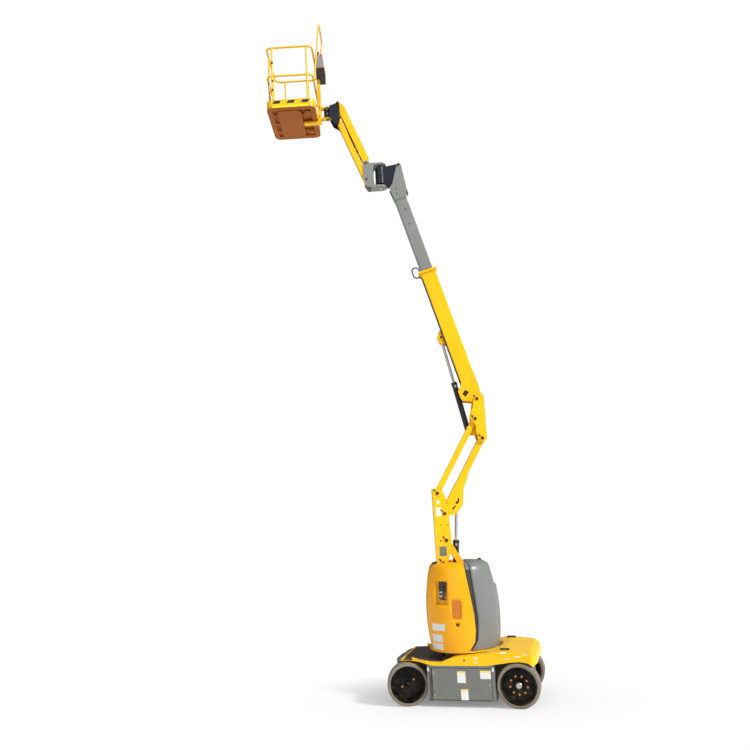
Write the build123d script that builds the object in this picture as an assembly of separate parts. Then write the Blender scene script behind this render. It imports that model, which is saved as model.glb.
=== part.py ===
from build123d import *

# Articulating boom lift: a compact electric work platform with a two-stage riser, a telescopic boom,
# a swinging jib and a small rotating platform. Millimetres, +Z up, +X towards the steered axle. The origin
# is on the ground under the slewing axis, half way between the axles.
#
# The upper structure is drawn in its own boom plane (XZ), then turned about the slewing axis by SLEW.

import os
from math import copysign, cos, degrees, hypot, radians, sin

# ---------------------------------------------------------------- driving dimensions
SLEW = 14.4                 # parked angle of the turret on the chassis, degrees
STEER = 14.0                # parked angle of the steered wheels, degrees
WHEELBASE = 1650
OVERALL_WIDTH = 1200
PIN_PLAY = 0.3              # radial clearance of every pin in its bore
RUNNING_GAP = 6             # side clearance between moving plates
SEAT_GAP = 0.3              # clearance of seated faces

# wheels
TYRE_R, TYRE_W, TYRE_BORE_R = 300, 190, 238
RIM_WALL = 10
DRIVE_DISC_DEPTH, STEER_DISC_DEPTH, DISC_T = 70, 118, 14
HUB_R, HUB_H = 62, 26
KINGPIN_Y, KINGPIN_R = 330, 24
STEER_SWEEP = 420           # radius kept clear about a kingpin
STUB_R = 40
KNUCKLE_H = 170

# chassis
SPINE_HALF, BELLY_Z, FRAME_TOP = 205, 120, 590
FRAME_END, BAY_WALL_BACK, BAY_WALL_FRONT = 1010, 46, 36
TRAY_X0, TRAY_X1 = -452, 402          # battery bay, rear and front ends
HINGE_X, HINGE_Y, HINGE_R, PIN_R = 415, 586, 12, 7
EYE_R = 24                  # tie-down hole
DOOR_T, DOOR_Z0, DOOR_Z1, DOOR_GAP = 30, 98, 532, 6
DECK_T, DECK_Z, DECK_HUMP_Z, DECK_SKIRT_Z = 12, 690, 770, 566
DECK_FRONT_X, DECK_REAR_X = 892, -1104
FOOTWELL_X0, FOOTWELL_X1, FOOTWELL_Z, FOOTWELL_HALF = 440, 850, 628, 548
DECK_BEND, DECK_CORNER = 60, 46       # rounding of its side lines and of its plan's corners
BEARING_R = 330

# turret
TURRET_Z = 722              # underside of the turntable
TURRET_TOP = 1975
TURRET_FOOT_R, TURRET_R, TURRET_BROW_R, TURRET_CROWN_R = 530, 573, 500, 405
TURRET_WAIST_Z, TURRET_BROW_Z = 1200, 1885
SIDE_RINGS, SHOULDER_RINGS = 8, 3     # rings of panels that the barrel form is rolled from
TAIL_WALL_Z = 1625          # top of the wall that closes the well behind
TAIL_STEP = 16              # the tail is drawn in by this much beside the cowls
# side outlines, from the foot up, of the cowls' rear edge and of the tail's full form
COWL_SEAM = [(61, 700), (-43, 767), (-117, 875), (-136, 1033), (-128, 1257), (-40, 1893), (-30, 1990)]
TAIL_SEAM = [(-20, 700), (-113, 811), (-166, 903), (-182, 1189), (-120, 1912), (-108, 1990)]
WELL_HALF = 190             # half width of the well between the cowls
TURNTABLE_T = 28
MAST_PLATE_Y, MAST_PLATE_T = 128, 14  # inner face and thickness of the pivot plates
COWL_T, COWL_Y0, SEAM_GAP = 12, 212, 6
# recesses of the left cowl: azimuth, height, half width, half height, radius of the floor and of the backing
CONTROL_POCKET = (53, 1560, 104, 168, 503, 478)
VENT_POCKET = (77.5, 1330, 66, 130, 556, 545)
LATCH_AZIMUTH, LATCH_Z, LATCH_R, LATCH_FLOOR_R = 77.5, 1118, 38, 556

# riser: each stage is a parallelogram of two links
LOWER_ANGLE, UPPER_ANGLE = 60.5, 59.4
LOWER_LENGTH, UPPER_LENGTH = 1300, 1315
POST_PINS = {"lower_link": (244, 1969), "lower_arm": (171, 2303),
             "upper_arm": (172, 2706), "upper_link": (264, 3018)}
POST_PLATE_Y, POST_PLATE_T = 145, 12
RISER_PIN_R, RISER_HUB_R = 26, 46
BAR_Y0, BAR_Y1 = 76, 122    # the twin bars of a riser link lie between these
LOWER_DEPTH, LINK_DEPTH, ARM_DEPTH = 92, 84, 97
RISER_CYL_BASE = (63, 1650)
RISER_CYL_EYE = (-31, 2862)

# riser head and boom
HEAD_PLATE_Y, HEAD_PLATE_T = 150, 12
BOOM_PIVOT = (-458, 4465)
BOOM_ANGLE = 74.2
BOOM_CYL_BASE = (-303, 3950)
BOOM_CYL_EYE = (1148, 184)  # along and below the boom, from its pivot
OUTER_START, OUTER_END, OUTER_DEPTH, OUTER_HALF, OUTER_WALL = 240, 2300, 246, 92, 8
INNER_START, INNER_END, INNER_DEPTH, INNER_HALF, INNER_WALL = 1500, 3760, 200, 72, 7
BOOM_CENTRE = 14            # the boom's centre line lies this far below its pivot
COLLAR_T, COLLAR_LIP = 38, 28
NOSE_PIN = (4229, -143)     # along and below the boom: pivot of the swing knuckle
HOSE_R, HOSE_Y, HOSE_DROP = 11, 78, 116

# swing knuckle and jib
SWING_X = 872
ACTUATOR_R, ACTUATOR_Z0, ACTUATOR_Z1 = 84, 8262, 8562
CLEVIS_T, CLEVIS_TOP, CLEVIS_BOTTOM = 26, 8628, 8198
JIB_ANGLE, JIB_LENGTH = 69.3, 1235
JIB_PIN, JIB_PIN_RISE = (1106, 8338), 295
JIB_PLATE_Y, JIB_PLATE_T = 96, 10
JIB_BAR_Y0, JIB_BAR_Y1 = 52, 88
JIB_PIN_R, JIB_HUB_R = 17, 32

# platform
TURN_X = 1722
FLOOR_X0, FLOOR_X1, FLOOR_HALF = 1900, 2722, 520
FLOOR_Z, FLOOR_T, FLOOR_CORNER = 9505, 45, 110
TOE_H, TOE_T = 108, 4
TREAD_INSET, TREAD_H = 46, 3    # raised tread plate, clear of the toe boards and the posts
RAIL_R, RAIL_BEND, RAIL_H, MID_RAIL = 17, 96, 1110, 560
HOOP_R, HOOP_HALF, HOOP_LEAN, HOOP_Z = 14, 270, 120, 11235
TURN_Z, TURN_PIN_R = 9652, 20
CONSOLE_Z = 10300           # top of the mast that carries the console

# cylinders
# radii of the bore, barrel, rod, eyes and pins; distances of the barrel's mouth, and of the rod's eye when
# the rod is in, from the base pin; half the width of the eyes
CYL_FIELDS = ("bore", "barrel", "rod", "eye", "pin", "mouth", "closed", "half")
RISER_CYL = dict(zip(CYL_FIELDS, (34, 46, 22, 32, 17, 644, 686, 40)))
BOOM_CYL = dict(zip(CYL_FIELDS, (34, 44, 23, 32, 17, 836, 1047, 38)))
JIB_CYL = dict(zip(CYL_FIELDS, (23, 30, 14, 26, 17, 690, 963, 40)))
GLAND = 30                  # length of the seal at a barrel's mouth
PISTON = 24

HALF_WIDTH = OVERALL_WIDTH / 2
AXLE_X = WHEELBASE / 2
WHEEL_Y = HALF_WIDTH - TYRE_W / 2
SLEWED = Rot(0, 0, SLEW)


# ---------------------------------------------------------------- drawing helpers
def polar(angle, length):
    """The X and Z of a length at an angle above +X."""
    return length * cos(radians(angle)), length * sin(radians(angle))


def offset_point(point, angle, length):
    """A point moved by a length at an angle, in the XZ plane."""
    dx, dz = polar(angle, length)
    return point[0] + dx, point[1] + dz


def link_plane(start, end):
    """A frame whose X runs from start to end in the XZ plane, with Y kept."""
    dx, dz = end[0] - start[0], end[1] - start[1]
    return Plane(origin=(start[0], 0, start[1]), x_dir=(dx, 0, dz), z_dir=(-dz, 0, dx))


def slab(points, y0, y1, plane=Plane.XY):
    """A plate of the outline (x, z), from y0 to y1, in a link's frame."""
    face = make_face(Polyline(*[(x, y0, z) for x, z in points], close=True))
    return plane * extrude(face, amount=y1 - y0, dir=(0, 1, 0))


def both(solid):
    """The same solid on the two sides of the boom plane."""
    return solid + mirror(solid, about=Plane.XZ)


def rod(centre, radius, y0, y1):
    """A round bar along Y through (x, z)."""
    x, z = centre
    return Pos(x, (y0 + y1) / 2, z) * Rot(90, 0, 0) * Cylinder(radius, abs(y1 - y0))


def block(x0, x1, y0, y1, z0, z1):
    """A box between two corners."""
    return Pos((x0 + x1) / 2, (y0 + y1) / 2, (z0 + z1) / 2) * Box(x1 - x0, y1 - y0, z1 - z0)


def tube_path(points, radius, bend):
    """A round rail along a bent path: straight tubes joined by quarter bends of one radius."""
    rail = None
    for edge in FilletPolyline(*points, radius=bend).edges():
        section = Plane(origin=edge @ 0, z_dir=edge % 0) * Circle(radius)
        if edge.geom_type == GeomType.LINE:
            piece = extrude(section, amount=edge.length)
        else:
            spoke = edge @ 0 - edge.arc_center
            axis = Axis(edge.arc_center, spoke.cross(edge % 0))
            piece = revolve(section, axis, degrees(edge.length / edge.radius))
        rail = piece if rail is None else rail + piece
    return rail


def barrel_and_rod(base, eye, size):
    """A hydraulic cylinder on the line from its base pin to its rod's eye: the barrel and the rod."""
    plane = link_plane(base, eye)
    length = hypot(eye[0] - base[0], eye[1] - base[1])
    lie = Rot(0, 90, 0)
    half, mouth = size["half"], size["mouth"]
    floor = size["eye"] + 12

    def disc(radius, start, end):
        return Pos((start + end) / 2, 0, 0) * lie * Cylinder(radius, end - start)

    barrel = disc(size["barrel"], floor, mouth) + disc(size["barrel"] + 4, mouth - 44, mouth)
    barrel += rod((0, 0), size["eye"], -half, half)
    barrel += block(0, floor + 2, -half, half, -size["eye"] * 0.7, size["eye"] * 0.7)
    barrel -= disc(size["bore"], floor + 12, mouth - GLAND)
    barrel -= disc(size["rod"] + SEAT_GAP, mouth - GLAND - 1, mouth + 1)
    barrel -= rod((0, 0), size["pin"] + PIN_PLAY, -half - 1, half + 1)
    start = length - size["closed"] + floor + 16
    stem = disc(size["rod"], start, length - size["eye"] + 4)
    stem += disc(size["bore"] - SEAT_GAP, start, start + PISTON)
    stem += rod((length, 0), size["eye"], -half, half)
    stem -= rod((length, 0), size["pin"] + PIN_PLAY, -half - 1, half + 1)
    return plane * barrel, plane * stem


NODES = {}


def node(name, shape, slewed=True):
    """Keeps a finished sub-part under its node name, turned with the turret where it belongs to it."""
    NODES[name] = SLEWED * shape if slewed else shape


# ---------------------------------------------------------------- chassis
def make_chassis():
    """Welded frame with its sills, trays, axles and hinge pins, the batteries and their doors."""
    edge = HALF_WIDTH - DECK_T - 2
    bay = (TRAY_X0 - DOOR_GAP, TRAY_X1 + 2 * HINGE_R + 6)
    back, front, core_half = bay[0] - BAY_WALL_BACK, bay[1] + BAY_WALL_FRONT, 300
    core = block(-FRAME_END, FRAME_END, -SPINE_HALF, SPINE_HALF, BELLY_Z + 60, FRAME_TOP)
    core += block(back, TRAY_X1, -core_half, core_half, BELLY_Z, FRAME_TOP)

    # wings over the batteries: a deck bearer along the top and the sill under it
    wing_z = DOOR_Z1 + 8
    wings = block(back, front, -edge, edge, FRAME_TOP - 34, FRAME_TOP)
    wings += block(back, front, -HALF_WIDTH + 2, HALF_WIDTH - 2, wing_z, DECK_SKIRT_Z - SEAT_GAP)
    node("deck_bearers", wings - core, slewed=False)

    trays = both(block(back, bay[0], core_half, edge, BELLY_Z - 36, wing_z))
    trays += both(block(bay[0] - 4, TRAY_X1, core_half, HALF_WIDTH - DOOR_T - 8, BELLY_Z - 12, BELLY_Z))
    node("battery_trays", trays, slewed=False)

    # posts in front of the doors, each with the lug and the pin that its door turns on
    posts = block(bay[1], front, SPINE_HALF, edge, BELLY_Z - 36, wing_z)
    posts -= Pos(AXLE_X, KINGPIN_Y, 300) * Cylinder(STEER_SWEEP, 700)
    posts += block(HINGE_X - 8, bay[1] + 4, HINGE_Y - 40, HINGE_Y + 8, BELLY_Z - 36, BELLY_Z - 26)
    pin_z0 = BELLY_Z - 30
    posts += Pos(HINGE_X, HINGE_Y, (pin_z0 + wing_z) / 2) * Cylinder(PIN_R, wing_z - pin_z0)
    node("door_posts", posts + mirror(posts, about=Plane.XZ), slewed=False)

    # forks that hold the kingpins of the steered axle
    forks = None
    for z in (TYRE_R - KNUCKLE_H / 2 - 20, TYRE_R + KNUCKLE_H / 2 + 20):
        arm = block(AXLE_X - 46, AXLE_X + 46, SPINE_HALF, KINGPIN_Y + 34, z - 14, z + 14)
        forks = arm if forks is None else forks + arm
    forks -= Pos(AXLE_X, KINGPIN_Y, TYRE_R) * Cylinder(KINGPIN_R + PIN_PLAY, 300)
    node("kingpin_forks", forks + mirror(forks, about=Plane.XZ), slewed=False)

    # drive housings and stub shafts of the driven axle
    housing = WHEEL_Y - TYRE_W / 2 - 12
    stub = HALF_WIDTH - DRIVE_DISC_DEPTH - DISC_T
    drive = rod((-AXLE_X, TYRE_R), 112, SPINE_HALF, housing) + rod((-AXLE_X, TYRE_R), STUB_R, SPINE_HALF, stub)
    node("drive_housings", drive + mirror(drive, about=Plane.XZ), slewed=False)

    # pedestal of the slewing ring, and tie-down eyes through the frame's ends
    core += Pos(0, 0, (FRAME_TOP + DECK_Z) / 2) * Cylinder(BEARING_R - 30, DECK_Z - FRAME_TOP)
    core -= Pos(0, 0, 640) * Cylinder(120, 260)
    core -= Pos(FRAME_END - 45, 0, 450) * Rot(90, 0, 0) * Cylinder(EYE_R, 2 * SPINE_HALF + 2)
    node("chassis_frame", core, slewed=False)

    ring_height = TURRET_Z - DECK_Z - 2 * SEAT_GAP
    ring = Cylinder(BEARING_R - 60, ring_height) - Cylinder(BEARING_R - 130, ring_height)
    node("slewing_ring", Pos(0, 0, (TURRET_Z + DECK_Z) / 2) * ring, slewed=False)

    # battery packs, plain blocks at their real place
    packs = both(block(TRAY_X0 + 10, TRAY_X1 - 10, 300 + DOOR_GAP, HALF_WIDTH - DOOR_T - 20,
                       BELLY_Z + SEAT_GAP, FRAME_TOP - 80))
    node("battery_packs", packs, slewed=False)

    for side, name in ((1, "left"), (-1, "right")):
        lo, hi = sorted((side * (HALF_WIDTH - DOOR_T), side * HALF_WIDTH))
        door = block(TRAY_X0, TRAY_X1, lo, hi, DOOR_Z0, DOOR_Z1)
        lo, hi = sorted((side * (HALF_WIDTH - DOOR_T - 1), side * (HALF_WIDTH - 8)))
        door -= block(TRAY_X0 + 30, TRAY_X1 - 30, lo, hi, DOOR_Z0 + 30, DOOR_Z1 - 30)
        for z in (DOOR_Z0 + 50, DOOR_Z1 - 60):
            lo, hi = sorted((side * (HINGE_Y - 6), side * (HINGE_Y + 6)))
            door += block(TRAY_X1 - 4, HINGE_X, lo, hi, z - 35, z + 35)
            door += Pos(HINGE_X, side * HINGE_Y, z) * Cylinder(HINGE_R, 70)
            door -= Pos(HINGE_X, side * HINGE_Y, z) * Cylinder(PIN_R + PIN_PLAY, 72)
        node(f"battery_door_{name}", door, slewed=False)


def make_deck():
    """Moulded deck cover: a wavy skin with side skirts, humped over the wheels, open at the ring."""
    top = [(DECK_REAR_X, 590), (-1081, 680), (-1007, 733), (-786, DECK_HUMP_Z - 14), (-668, DECK_HUMP_Z),
           (-571, DECK_HUMP_Z - 7), (-257, DECK_Z + 18), (6, DECK_Z + 2), (134, 660), (264, 612), (431, 618),
           (600, 646), (726, 689), (814, 657), (DECK_FRONT_X, 622)]
    foot = [(DECK_FRONT_X, 612), (730, 622), (602, 616), (434, 580), (380, DECK_SKIRT_Z),
            (-400, DECK_SKIRT_Z), (-475, 578), (-613, 597), (-735, 614), (-855, 622), (-972, 606),
            (-1046, 560)]
    plan = [(DECK_REAR_X, 470), (DECK_REAR_X + 60, HALF_WIDTH), (480, HALF_WIDTH), (640, 560),
            (DECK_FRONT_X, 500)]
    plan += [(x, -y) for x, y in reversed(plan)]

    def column(shrink):
        """The deck's plan drawn in by a wall, as an upright prism with rounded corners."""
        outline = [(x - copysign(shrink, x), y - copysign(shrink, y), 500) for x, y in plan]
        prism = extrude(make_face(Polyline(*outline, close=True)), amount=400, dir=(0, 0, 1))
        return fillet(prism.edges().filter_by(Axis.Z), DECK_CORNER - shrink)

    def side_form(line, base):
        """A prism across the deck, from its rounded top line down to a lower line."""
        edges = FilletPolyline(*line, radius=DECK_BEND) + Polyline(line[-1], *base, line[0])
        return extrude(Plane.XZ * make_face(edges), amount=HALF_WIDTH, both=True)

    under = [(x, z - DECK_T) for x, z in top]
    deck = side_form(top, foot) & column(0)
    # sunk parts: the footwell in front, and the ring that the turret turns over
    ring_z, ring_r = TURRET_Z - 16, TURRET_R + 14
    sunk = block(FOOTWELL_X0, FOOTWELL_X1, -FOOTWELL_HALF, FOOTWELL_HALF, FOOTWELL_Z, 800)
    sunk += Pos(0, 0, ring_z + 100) * Cylinder(ring_r, 200)
    lining = block(FOOTWELL_X0 - DECK_T, FOOTWELL_X1 + DECK_T, -FOOTWELL_HALF - DECK_T,
                   FOOTWELL_HALF + DECK_T,
                   FOOTWELL_Z - DECK_T, 800)
    lining += Pos(0, 0, ring_z - DECK_T + 100) * Cylinder(ring_r + DECK_T, 200)
    deck -= side_form(under, [(DECK_FRONT_X, 500), (DECK_REAR_X, 500)]) & column(DECK_T) - lining
    deck -= sunk
    deck -= Pos(0, 0, 660) * Cylinder(BEARING_R + 6, 300)
    node("deck_cover", deck, slewed=False)


# ---------------------------------------------------------------- wheels
def make_wheel(x, side, steered):
    """A solid tyre on its dished rim, and for a steered wheel the knuckle that carries it."""
    end = "front" if steered else "rear"
    hand = "left" if side > 0 else "right"
    turn = Pos(x, side * KINGPIN_Y, 0) * Rot(0, 0, STEER) * Pos(-x, -side * KINGPIN_Y,
                                                                0) if steered else Pos()
    # the wheel is drawn about +Z with its outer face at the top, then laid with that face outwards
    axle = Pos(x, side * WHEEL_Y, TYRE_R) * Rot(-90 * side, 0, 0)
    tyre = Cylinder(TYRE_R, TYRE_W) - Cylinder(TYRE_BORE_R, TYRE_W)
    tyre = chamfer(tyre.edges().filter_by(GeomType.CIRCLE).sort_by(SortBy.RADIUS)[-2:], 14)
    node(f"{end}_{hand}_tyre", turn * axle * tyre, slewed=False)

    depth = STEER_DISC_DEPTH if steered else DRIVE_DISC_DEPTH
    outer = TYRE_BORE_R - SEAT_GAP
    disc_z = TYRE_W / 2 - depth - DISC_T / 2
    rim = Cylinder(outer, TYRE_W - 8) - Cylinder(outer - RIM_WALL, TYRE_W - 8)
    rim += Pos(0, 0, disc_z) * Cylinder(outer - 2, DISC_T)
    rim += Pos(0, 0, disc_z + DISC_T / 2) * Cylinder(HUB_R, 2 * HUB_H)
    rim += Pos(0, 0, disc_z + DISC_T / 2 + HUB_H) * Cone(HUB_R - 14, HUB_R - 30, HUB_H)
    socket = disc_z - DISC_T / 2 - HUB_H - 1
    rim -= Pos(0, 0, (socket + disc_z + DISC_T / 2) / 2) * Cylinder(STUB_R + PIN_PLAY,
                                                                    disc_z + DISC_T / 2 - socket)
    node(f"{end}_{hand}_rim", turn * axle * rim, slewed=False)

    if steered:
        pin = Pos(x, side * KINGPIN_Y, TYRE_R)
        knuckle = pin * Cylinder(KINGPIN_R, KNUCKLE_H + 68) + pin * Cylinder(52,
                                                                             KNUCKLE_H + 12 - 2 * SEAT_GAP)
        lo, hi = sorted((side * KINGPIN_Y, side * (WHEEL_Y + disc_z + DISC_T / 2 - 2)))
        knuckle += rod((x, TYRE_R), STUB_R, lo, hi)
        lo, hi = sorted((side * (KINGPIN_Y - 30), side * (KINGPIN_Y + 20)))
        knuckle += block(x - 150, x, lo, hi, TYRE_R - 12, TYRE_R + 12)
        node(f"{end}_{hand}_knuckle", turn * knuckle, slewed=False)


# ---------------------------------------------------------------- turret
def make_turret():
    """Turntable with the riser's pivot plates, the tail counterweight and the two side cowls."""
    arm_foot = offset_point(POST_PINS["lower_arm"], LOWER_ANGLE, -LOWER_LENGTH)
    link_foot = offset_point(POST_PINS["lower_link"], LOWER_ANGLE, -LOWER_LENGTH)
    floor_z = TURRET_Z + TURNTABLE_T
    table = Pos(0, 0, TURRET_Z + TURNTABLE_T / 2) * Cylinder(TURRET_FOOT_R - COWL_T - SEAT_GAP, TURNTABLE_T)
    outline = [(link_foot[0] - 76, floor_z), (arm_foot[0] - 55, arm_foot[1]),
               (arm_foot[0] - 36, arm_foot[1] + 52),
               (arm_foot[0] + 20, arm_foot[1] + 58), (arm_foot[0] + 62, arm_foot[1] + 10),
               (link_foot[0] + 70, link_foot[1] + 40), (link_foot[0] + 150, floor_z)]
    table += both(slab(outline, MAST_PLATE_Y, MAST_PLATE_Y + MAST_PLATE_T))
    for pin in (arm_foot, link_foot):
        table += both(rod(pin, RISER_HUB_R, BAR_Y1 + SEAT_GAP, MAST_PLATE_Y + MAST_PLATE_T + 10))
        table += rod(pin, RISER_PIN_R, -MAST_PLATE_Y, MAST_PLATE_Y)
    node("turntable", table)

    def shell(reach):
        """The turret's barrel form, drawn in by a wall."""
        foot, brow = (TURRET_FOOT_R - reach, TURRET_Z), (TURRET_BROW_R - reach, TURRET_BROW_Z)
        crown = (TURRET_CROWN_R - reach, TURRET_TOP - reach)
        side = ThreePointArc(foot, (TURRET_R - reach, TURRET_WAIST_Z), brow)
        shoulder = TangentArc(brow, crown, tangent=side % 1)
        stations = [side @ (i / SIDE_RINGS) for i in range(SIDE_RINGS)]
        stations += [shoulder @ (i / SHOULDER_RINGS) for i in range(SHOULDER_RINGS + 1)]
        outline = Polyline(*stations, (0, crown[1]), (0, TURRET_Z), close=True)
        return revolve(Plane.XZ * make_face(outline), Axis.Z)

    reach = TURRET_R + 30
    seat_z = floor_z + SEAT_GAP
    back = [(-418, TURRET_TOP + 15), (-492, 1650), (-530, 1632), (-reach, 1250), (-reach, TURRET_Z - 22)]
    inset_seam = [(x - SEAM_GAP, z) for x, z in COWL_SEAM]
    tail = slab(TAIL_SEAM + back, -reach, reach) & shell(0)
    tail += slab(inset_seam + back, -reach, reach) & shell(TAIL_STEP)
    tail -= block(-reach, reach, -reach, reach, TURRET_Z - 50, seat_z)
    well = [(-488, floor_z - 10), (-540, 960), (-548, 1250), (-516, TAIL_WALL_Z), (-700, TAIL_WALL_Z),
            (-700, TURRET_TOP + 10), (200, TURRET_TOP + 10), (200, floor_z - 10)]
    tail -= slab(well, -WELL_HALF, WELL_HALF)
    node("counterweight", tail)

    cowl = slab(COWL_SEAM + [(reach, 1990), (reach, 700)], COWL_Y0, reach) & shell(0)
    cowl -= block(-reach, reach, COWL_Y0 + COWL_T, reach, seat_z, TURRET_TOP) & shell(COWL_T)
    cowl -= Pos(0, 0, TURRET_Z) * Cylinder(TURRET_FOOT_R - COWL_T, 2 * (TURNTABLE_T + SEAT_GAP))
    node("cowl_right", mirror(cowl, about=Plane.XZ))

    # the left cowl has a pocket for the ground controls, a sunk vent panel and a latch well
    for azimuth, z, half_w, half_h, floor_r, back_r in (CONTROL_POCKET, VENT_POCKET):
        turn = Rot(0, 0, azimuth)
        rim_w, rim_h = half_w + COWL_T, half_h + COWL_T
        cowl += turn * block(back_r, reach, -rim_w, rim_w, z - rim_h, z + rim_h) & shell(0)
        cowl -= turn * block(floor_r, reach, -half_w, half_w, z - half_h, z + half_h)
    well_axis = Rot(0, 0, LATCH_AZIMUTH) * Pos(LATCH_FLOOR_R, 0, LATCH_Z) * Rot(0, 90, 0)
    cowl += well_axis * Cylinder(LATCH_R + 8, 2 * COWL_T) & shell(0)
    cowl -= well_axis * Pos(0, 0, 40) * Cylinder(LATCH_R, 80)
    node("cowl_left", cowl)


# ---------------------------------------------------------------- riser
def twin_link(start, end, depth, tie_at):
    """A riser link: twin bars between two bored cross tubes, with a tie plate between the bars."""
    length = hypot(end[0] - start[0], end[1] - start[1])
    link = both(block(0, length, BAR_Y0, BAR_Y1, -depth / 2, depth / 2))
    link += block(tie_at, tie_at + 40, -BAR_Y0 - 1, BAR_Y0 + 1, -depth / 2, depth / 2)
    for at in (0, length):
        link += rod((at, 0), RISER_HUB_R, -BAR_Y1, BAR_Y1)
        link -= rod((at, 0), RISER_PIN_R + PIN_PLAY, -BAR_Y1 - 1, BAR_Y1 + 1)
    return link_plane(start, end) * link


def make_riser():
    """Two stages of links with an upright post between them, and the lift cylinder."""
    arm_top, link_top = POST_PINS["lower_arm"], POST_PINS["lower_link"]
    arm_foot = offset_point(arm_top, LOWER_ANGLE, -LOWER_LENGTH)
    link_foot = offset_point(link_top, LOWER_ANGLE, -LOWER_LENGTH)

    node("lower_arm", twin_link(arm_foot, arm_top, LOWER_DEPTH, 260))
    link = twin_link(link_foot, link_top, LINK_DEPTH, 300)
    link += both(rod(RISER_CYL_BASE, 42, RISER_CYL["half"] + SEAT_GAP, BAR_Y1 - 6))
    link += rod(RISER_CYL_BASE, RISER_CYL["pin"], -60, 60)
    node("lower_link", link)

    outline = [(338, 1895), (338, 3095), (257, 3095), (190, 3062), (140, 2955), (110, 2706), (100, 2450),
               (94, 2290),
               (112, 2140), (160, 1990), (176, 1895)]
    post = both(slab(outline, POST_PLATE_Y, POST_PLATE_Y + POST_PLATE_T))
    post += block(326, 338, -POST_PLATE_Y - 1, POST_PLATE_Y + 1, 1920, 2930)
    for pin in POST_PINS.values():
        post += rod(pin, RISER_PIN_R, -POST_PLATE_Y - POST_PLATE_T, POST_PLATE_Y + POST_PLATE_T)
        post += both(rod(pin, RISER_HUB_R - 8, BAR_Y1 + RUNNING_GAP, POST_PLATE_Y + 1))
        post += both(rod(pin, RISER_PIN_R + 8, POST_PLATE_Y, POST_PLATE_Y + POST_PLATE_T + 8))
    node("riser_post", post)

    arm_foot, link_foot = POST_PINS["upper_arm"], POST_PINS["upper_link"]
    arm_top = offset_point(arm_foot, 180 - UPPER_ANGLE, UPPER_LENGTH)
    link_top = offset_point(link_foot, 180 - UPPER_ANGLE, UPPER_LENGTH)

    # the upper arm: a fan of two plates that carries the lift cylinder's rod, then a box
    fan = [(96, 2672), (-7, 2688), (-123, 2818), (-148, 3066), (-236, 3276), (-119, 3290), (113, 2915),
           (212, 2745),
           (205, 2680), (165, 2655)]
    arm = both(slab(fan, BAR_Y1 - 22, BAR_Y1))
    plane = link_plane(arm_foot, arm_top)
    box = both(block(560, UPPER_LENGTH, BAR_Y0, BAR_Y1, -ARM_DEPTH / 2, ARM_DEPTH / 2))
    box += block(600, UPPER_LENGTH - 60, -BAR_Y0 - 1, BAR_Y0 + 1, ARM_DEPTH / 2 - 12, ARM_DEPTH / 2)
    box += block(600, UPPER_LENGTH - 60, -BAR_Y0 - 1, BAR_Y0 + 1, -ARM_DEPTH / 2, -ARM_DEPTH / 2 + 12)
    box += rod((UPPER_LENGTH, 0), RISER_HUB_R, -BAR_Y1, BAR_Y1)
    box += rod((0, 0), RISER_HUB_R, -BAR_Y1, BAR_Y1)
    box -= rod((UPPER_LENGTH, 0), RISER_PIN_R + PIN_PLAY, -200, 200)
    arm += plane * box
    arm -= plane * rod((0, 0), RISER_PIN_R + PIN_PLAY, -200, 200)
    arm += both(rod(RISER_CYL_EYE, 30, RISER_CYL["half"] + SEAT_GAP, BAR_Y1 - 10))
    node("upper_arm", arm)

    node("upper_link", twin_link(link_foot, link_top, LINK_DEPTH, 150))

    barrel, stem = barrel_and_rod(RISER_CYL_BASE, RISER_CYL_EYE, RISER_CYL)
    node("riser_barrel", barrel)
    node("riser_rod", stem)
    return arm_top, link_top


def make_head(arm_top, link_top):
    """The upright bracket at the top of the riser, which carries the boom and its cylinder."""
    outline = [(-572, 3822), (-572, 4520), (-478, 4520), (-410, 4478), (-398, 4400), (-350, 4215),
               (-350, 4120),
               (-404, 4060), (-412, 3930), (-430, 3835), (-470, 3782), (-540, 3782)]
    y0, y1 = HEAD_PLATE_Y, HEAD_PLATE_Y + HEAD_PLATE_T
    head = both(slab(outline, y0, y1))
    head += block(-572, -560, -y0 - 1, y0 + 1, 3860, 4330)
    lug = [(-561, 3915), (-561, 4040), (-400, 4030), (-303, 3990), (-262, 3955), (-275, 3915), (-303, 3910),
           (-400, 3908)]
    head += both(slab(lug, 50, 62))
    head += both(rod(BOOM_CYL_BASE, 36, BOOM_CYL["half"] + SEAT_GAP, 66))
    head += rod(BOOM_CYL_BASE, BOOM_CYL["pin"], -62, 62)
    for pin in (arm_top, link_top, BOOM_PIVOT):
        head += rod(pin, RISER_PIN_R, -y1, y1)
        head += both(rod(pin, RISER_HUB_R - 8, BAR_Y1 + RUNNING_GAP, y0 + 1))
        head += both(rod(pin, RISER_PIN_R + 8, y0, y1 + 8))
    node("riser_head", head)


# ---------------------------------------------------------------- boom
BOOM_END = offset_point(BOOM_PIVOT, BOOM_ANGLE, 1000)
BOOM_PLANE = link_plane(BOOM_PIVOT, BOOM_END)


def in_boom(along, below):
    """A point given along and below the boom, in the boom plane."""
    foot = offset_point(BOOM_PIVOT, BOOM_ANGLE, along)
    return offset_point(foot, BOOM_ANGLE - 90, below)


def box_section(start, end, depth, half, wall):
    """A square-cornered hollow boom section about the boom's centre line, in the boom's frame."""
    outer = block(start, end, -half, half, -BOOM_CENTRE - depth / 2, -BOOM_CENTRE + depth / 2)
    outer = fillet(outer.edges().filter_by(Axis.X), 12)
    inner = block(start - 1, end + 1, -half + wall, half - wall, -BOOM_CENTRE - depth / 2 + wall,
                  -BOOM_CENTRE + depth / 2 - wall)
    return outer - inner


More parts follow.
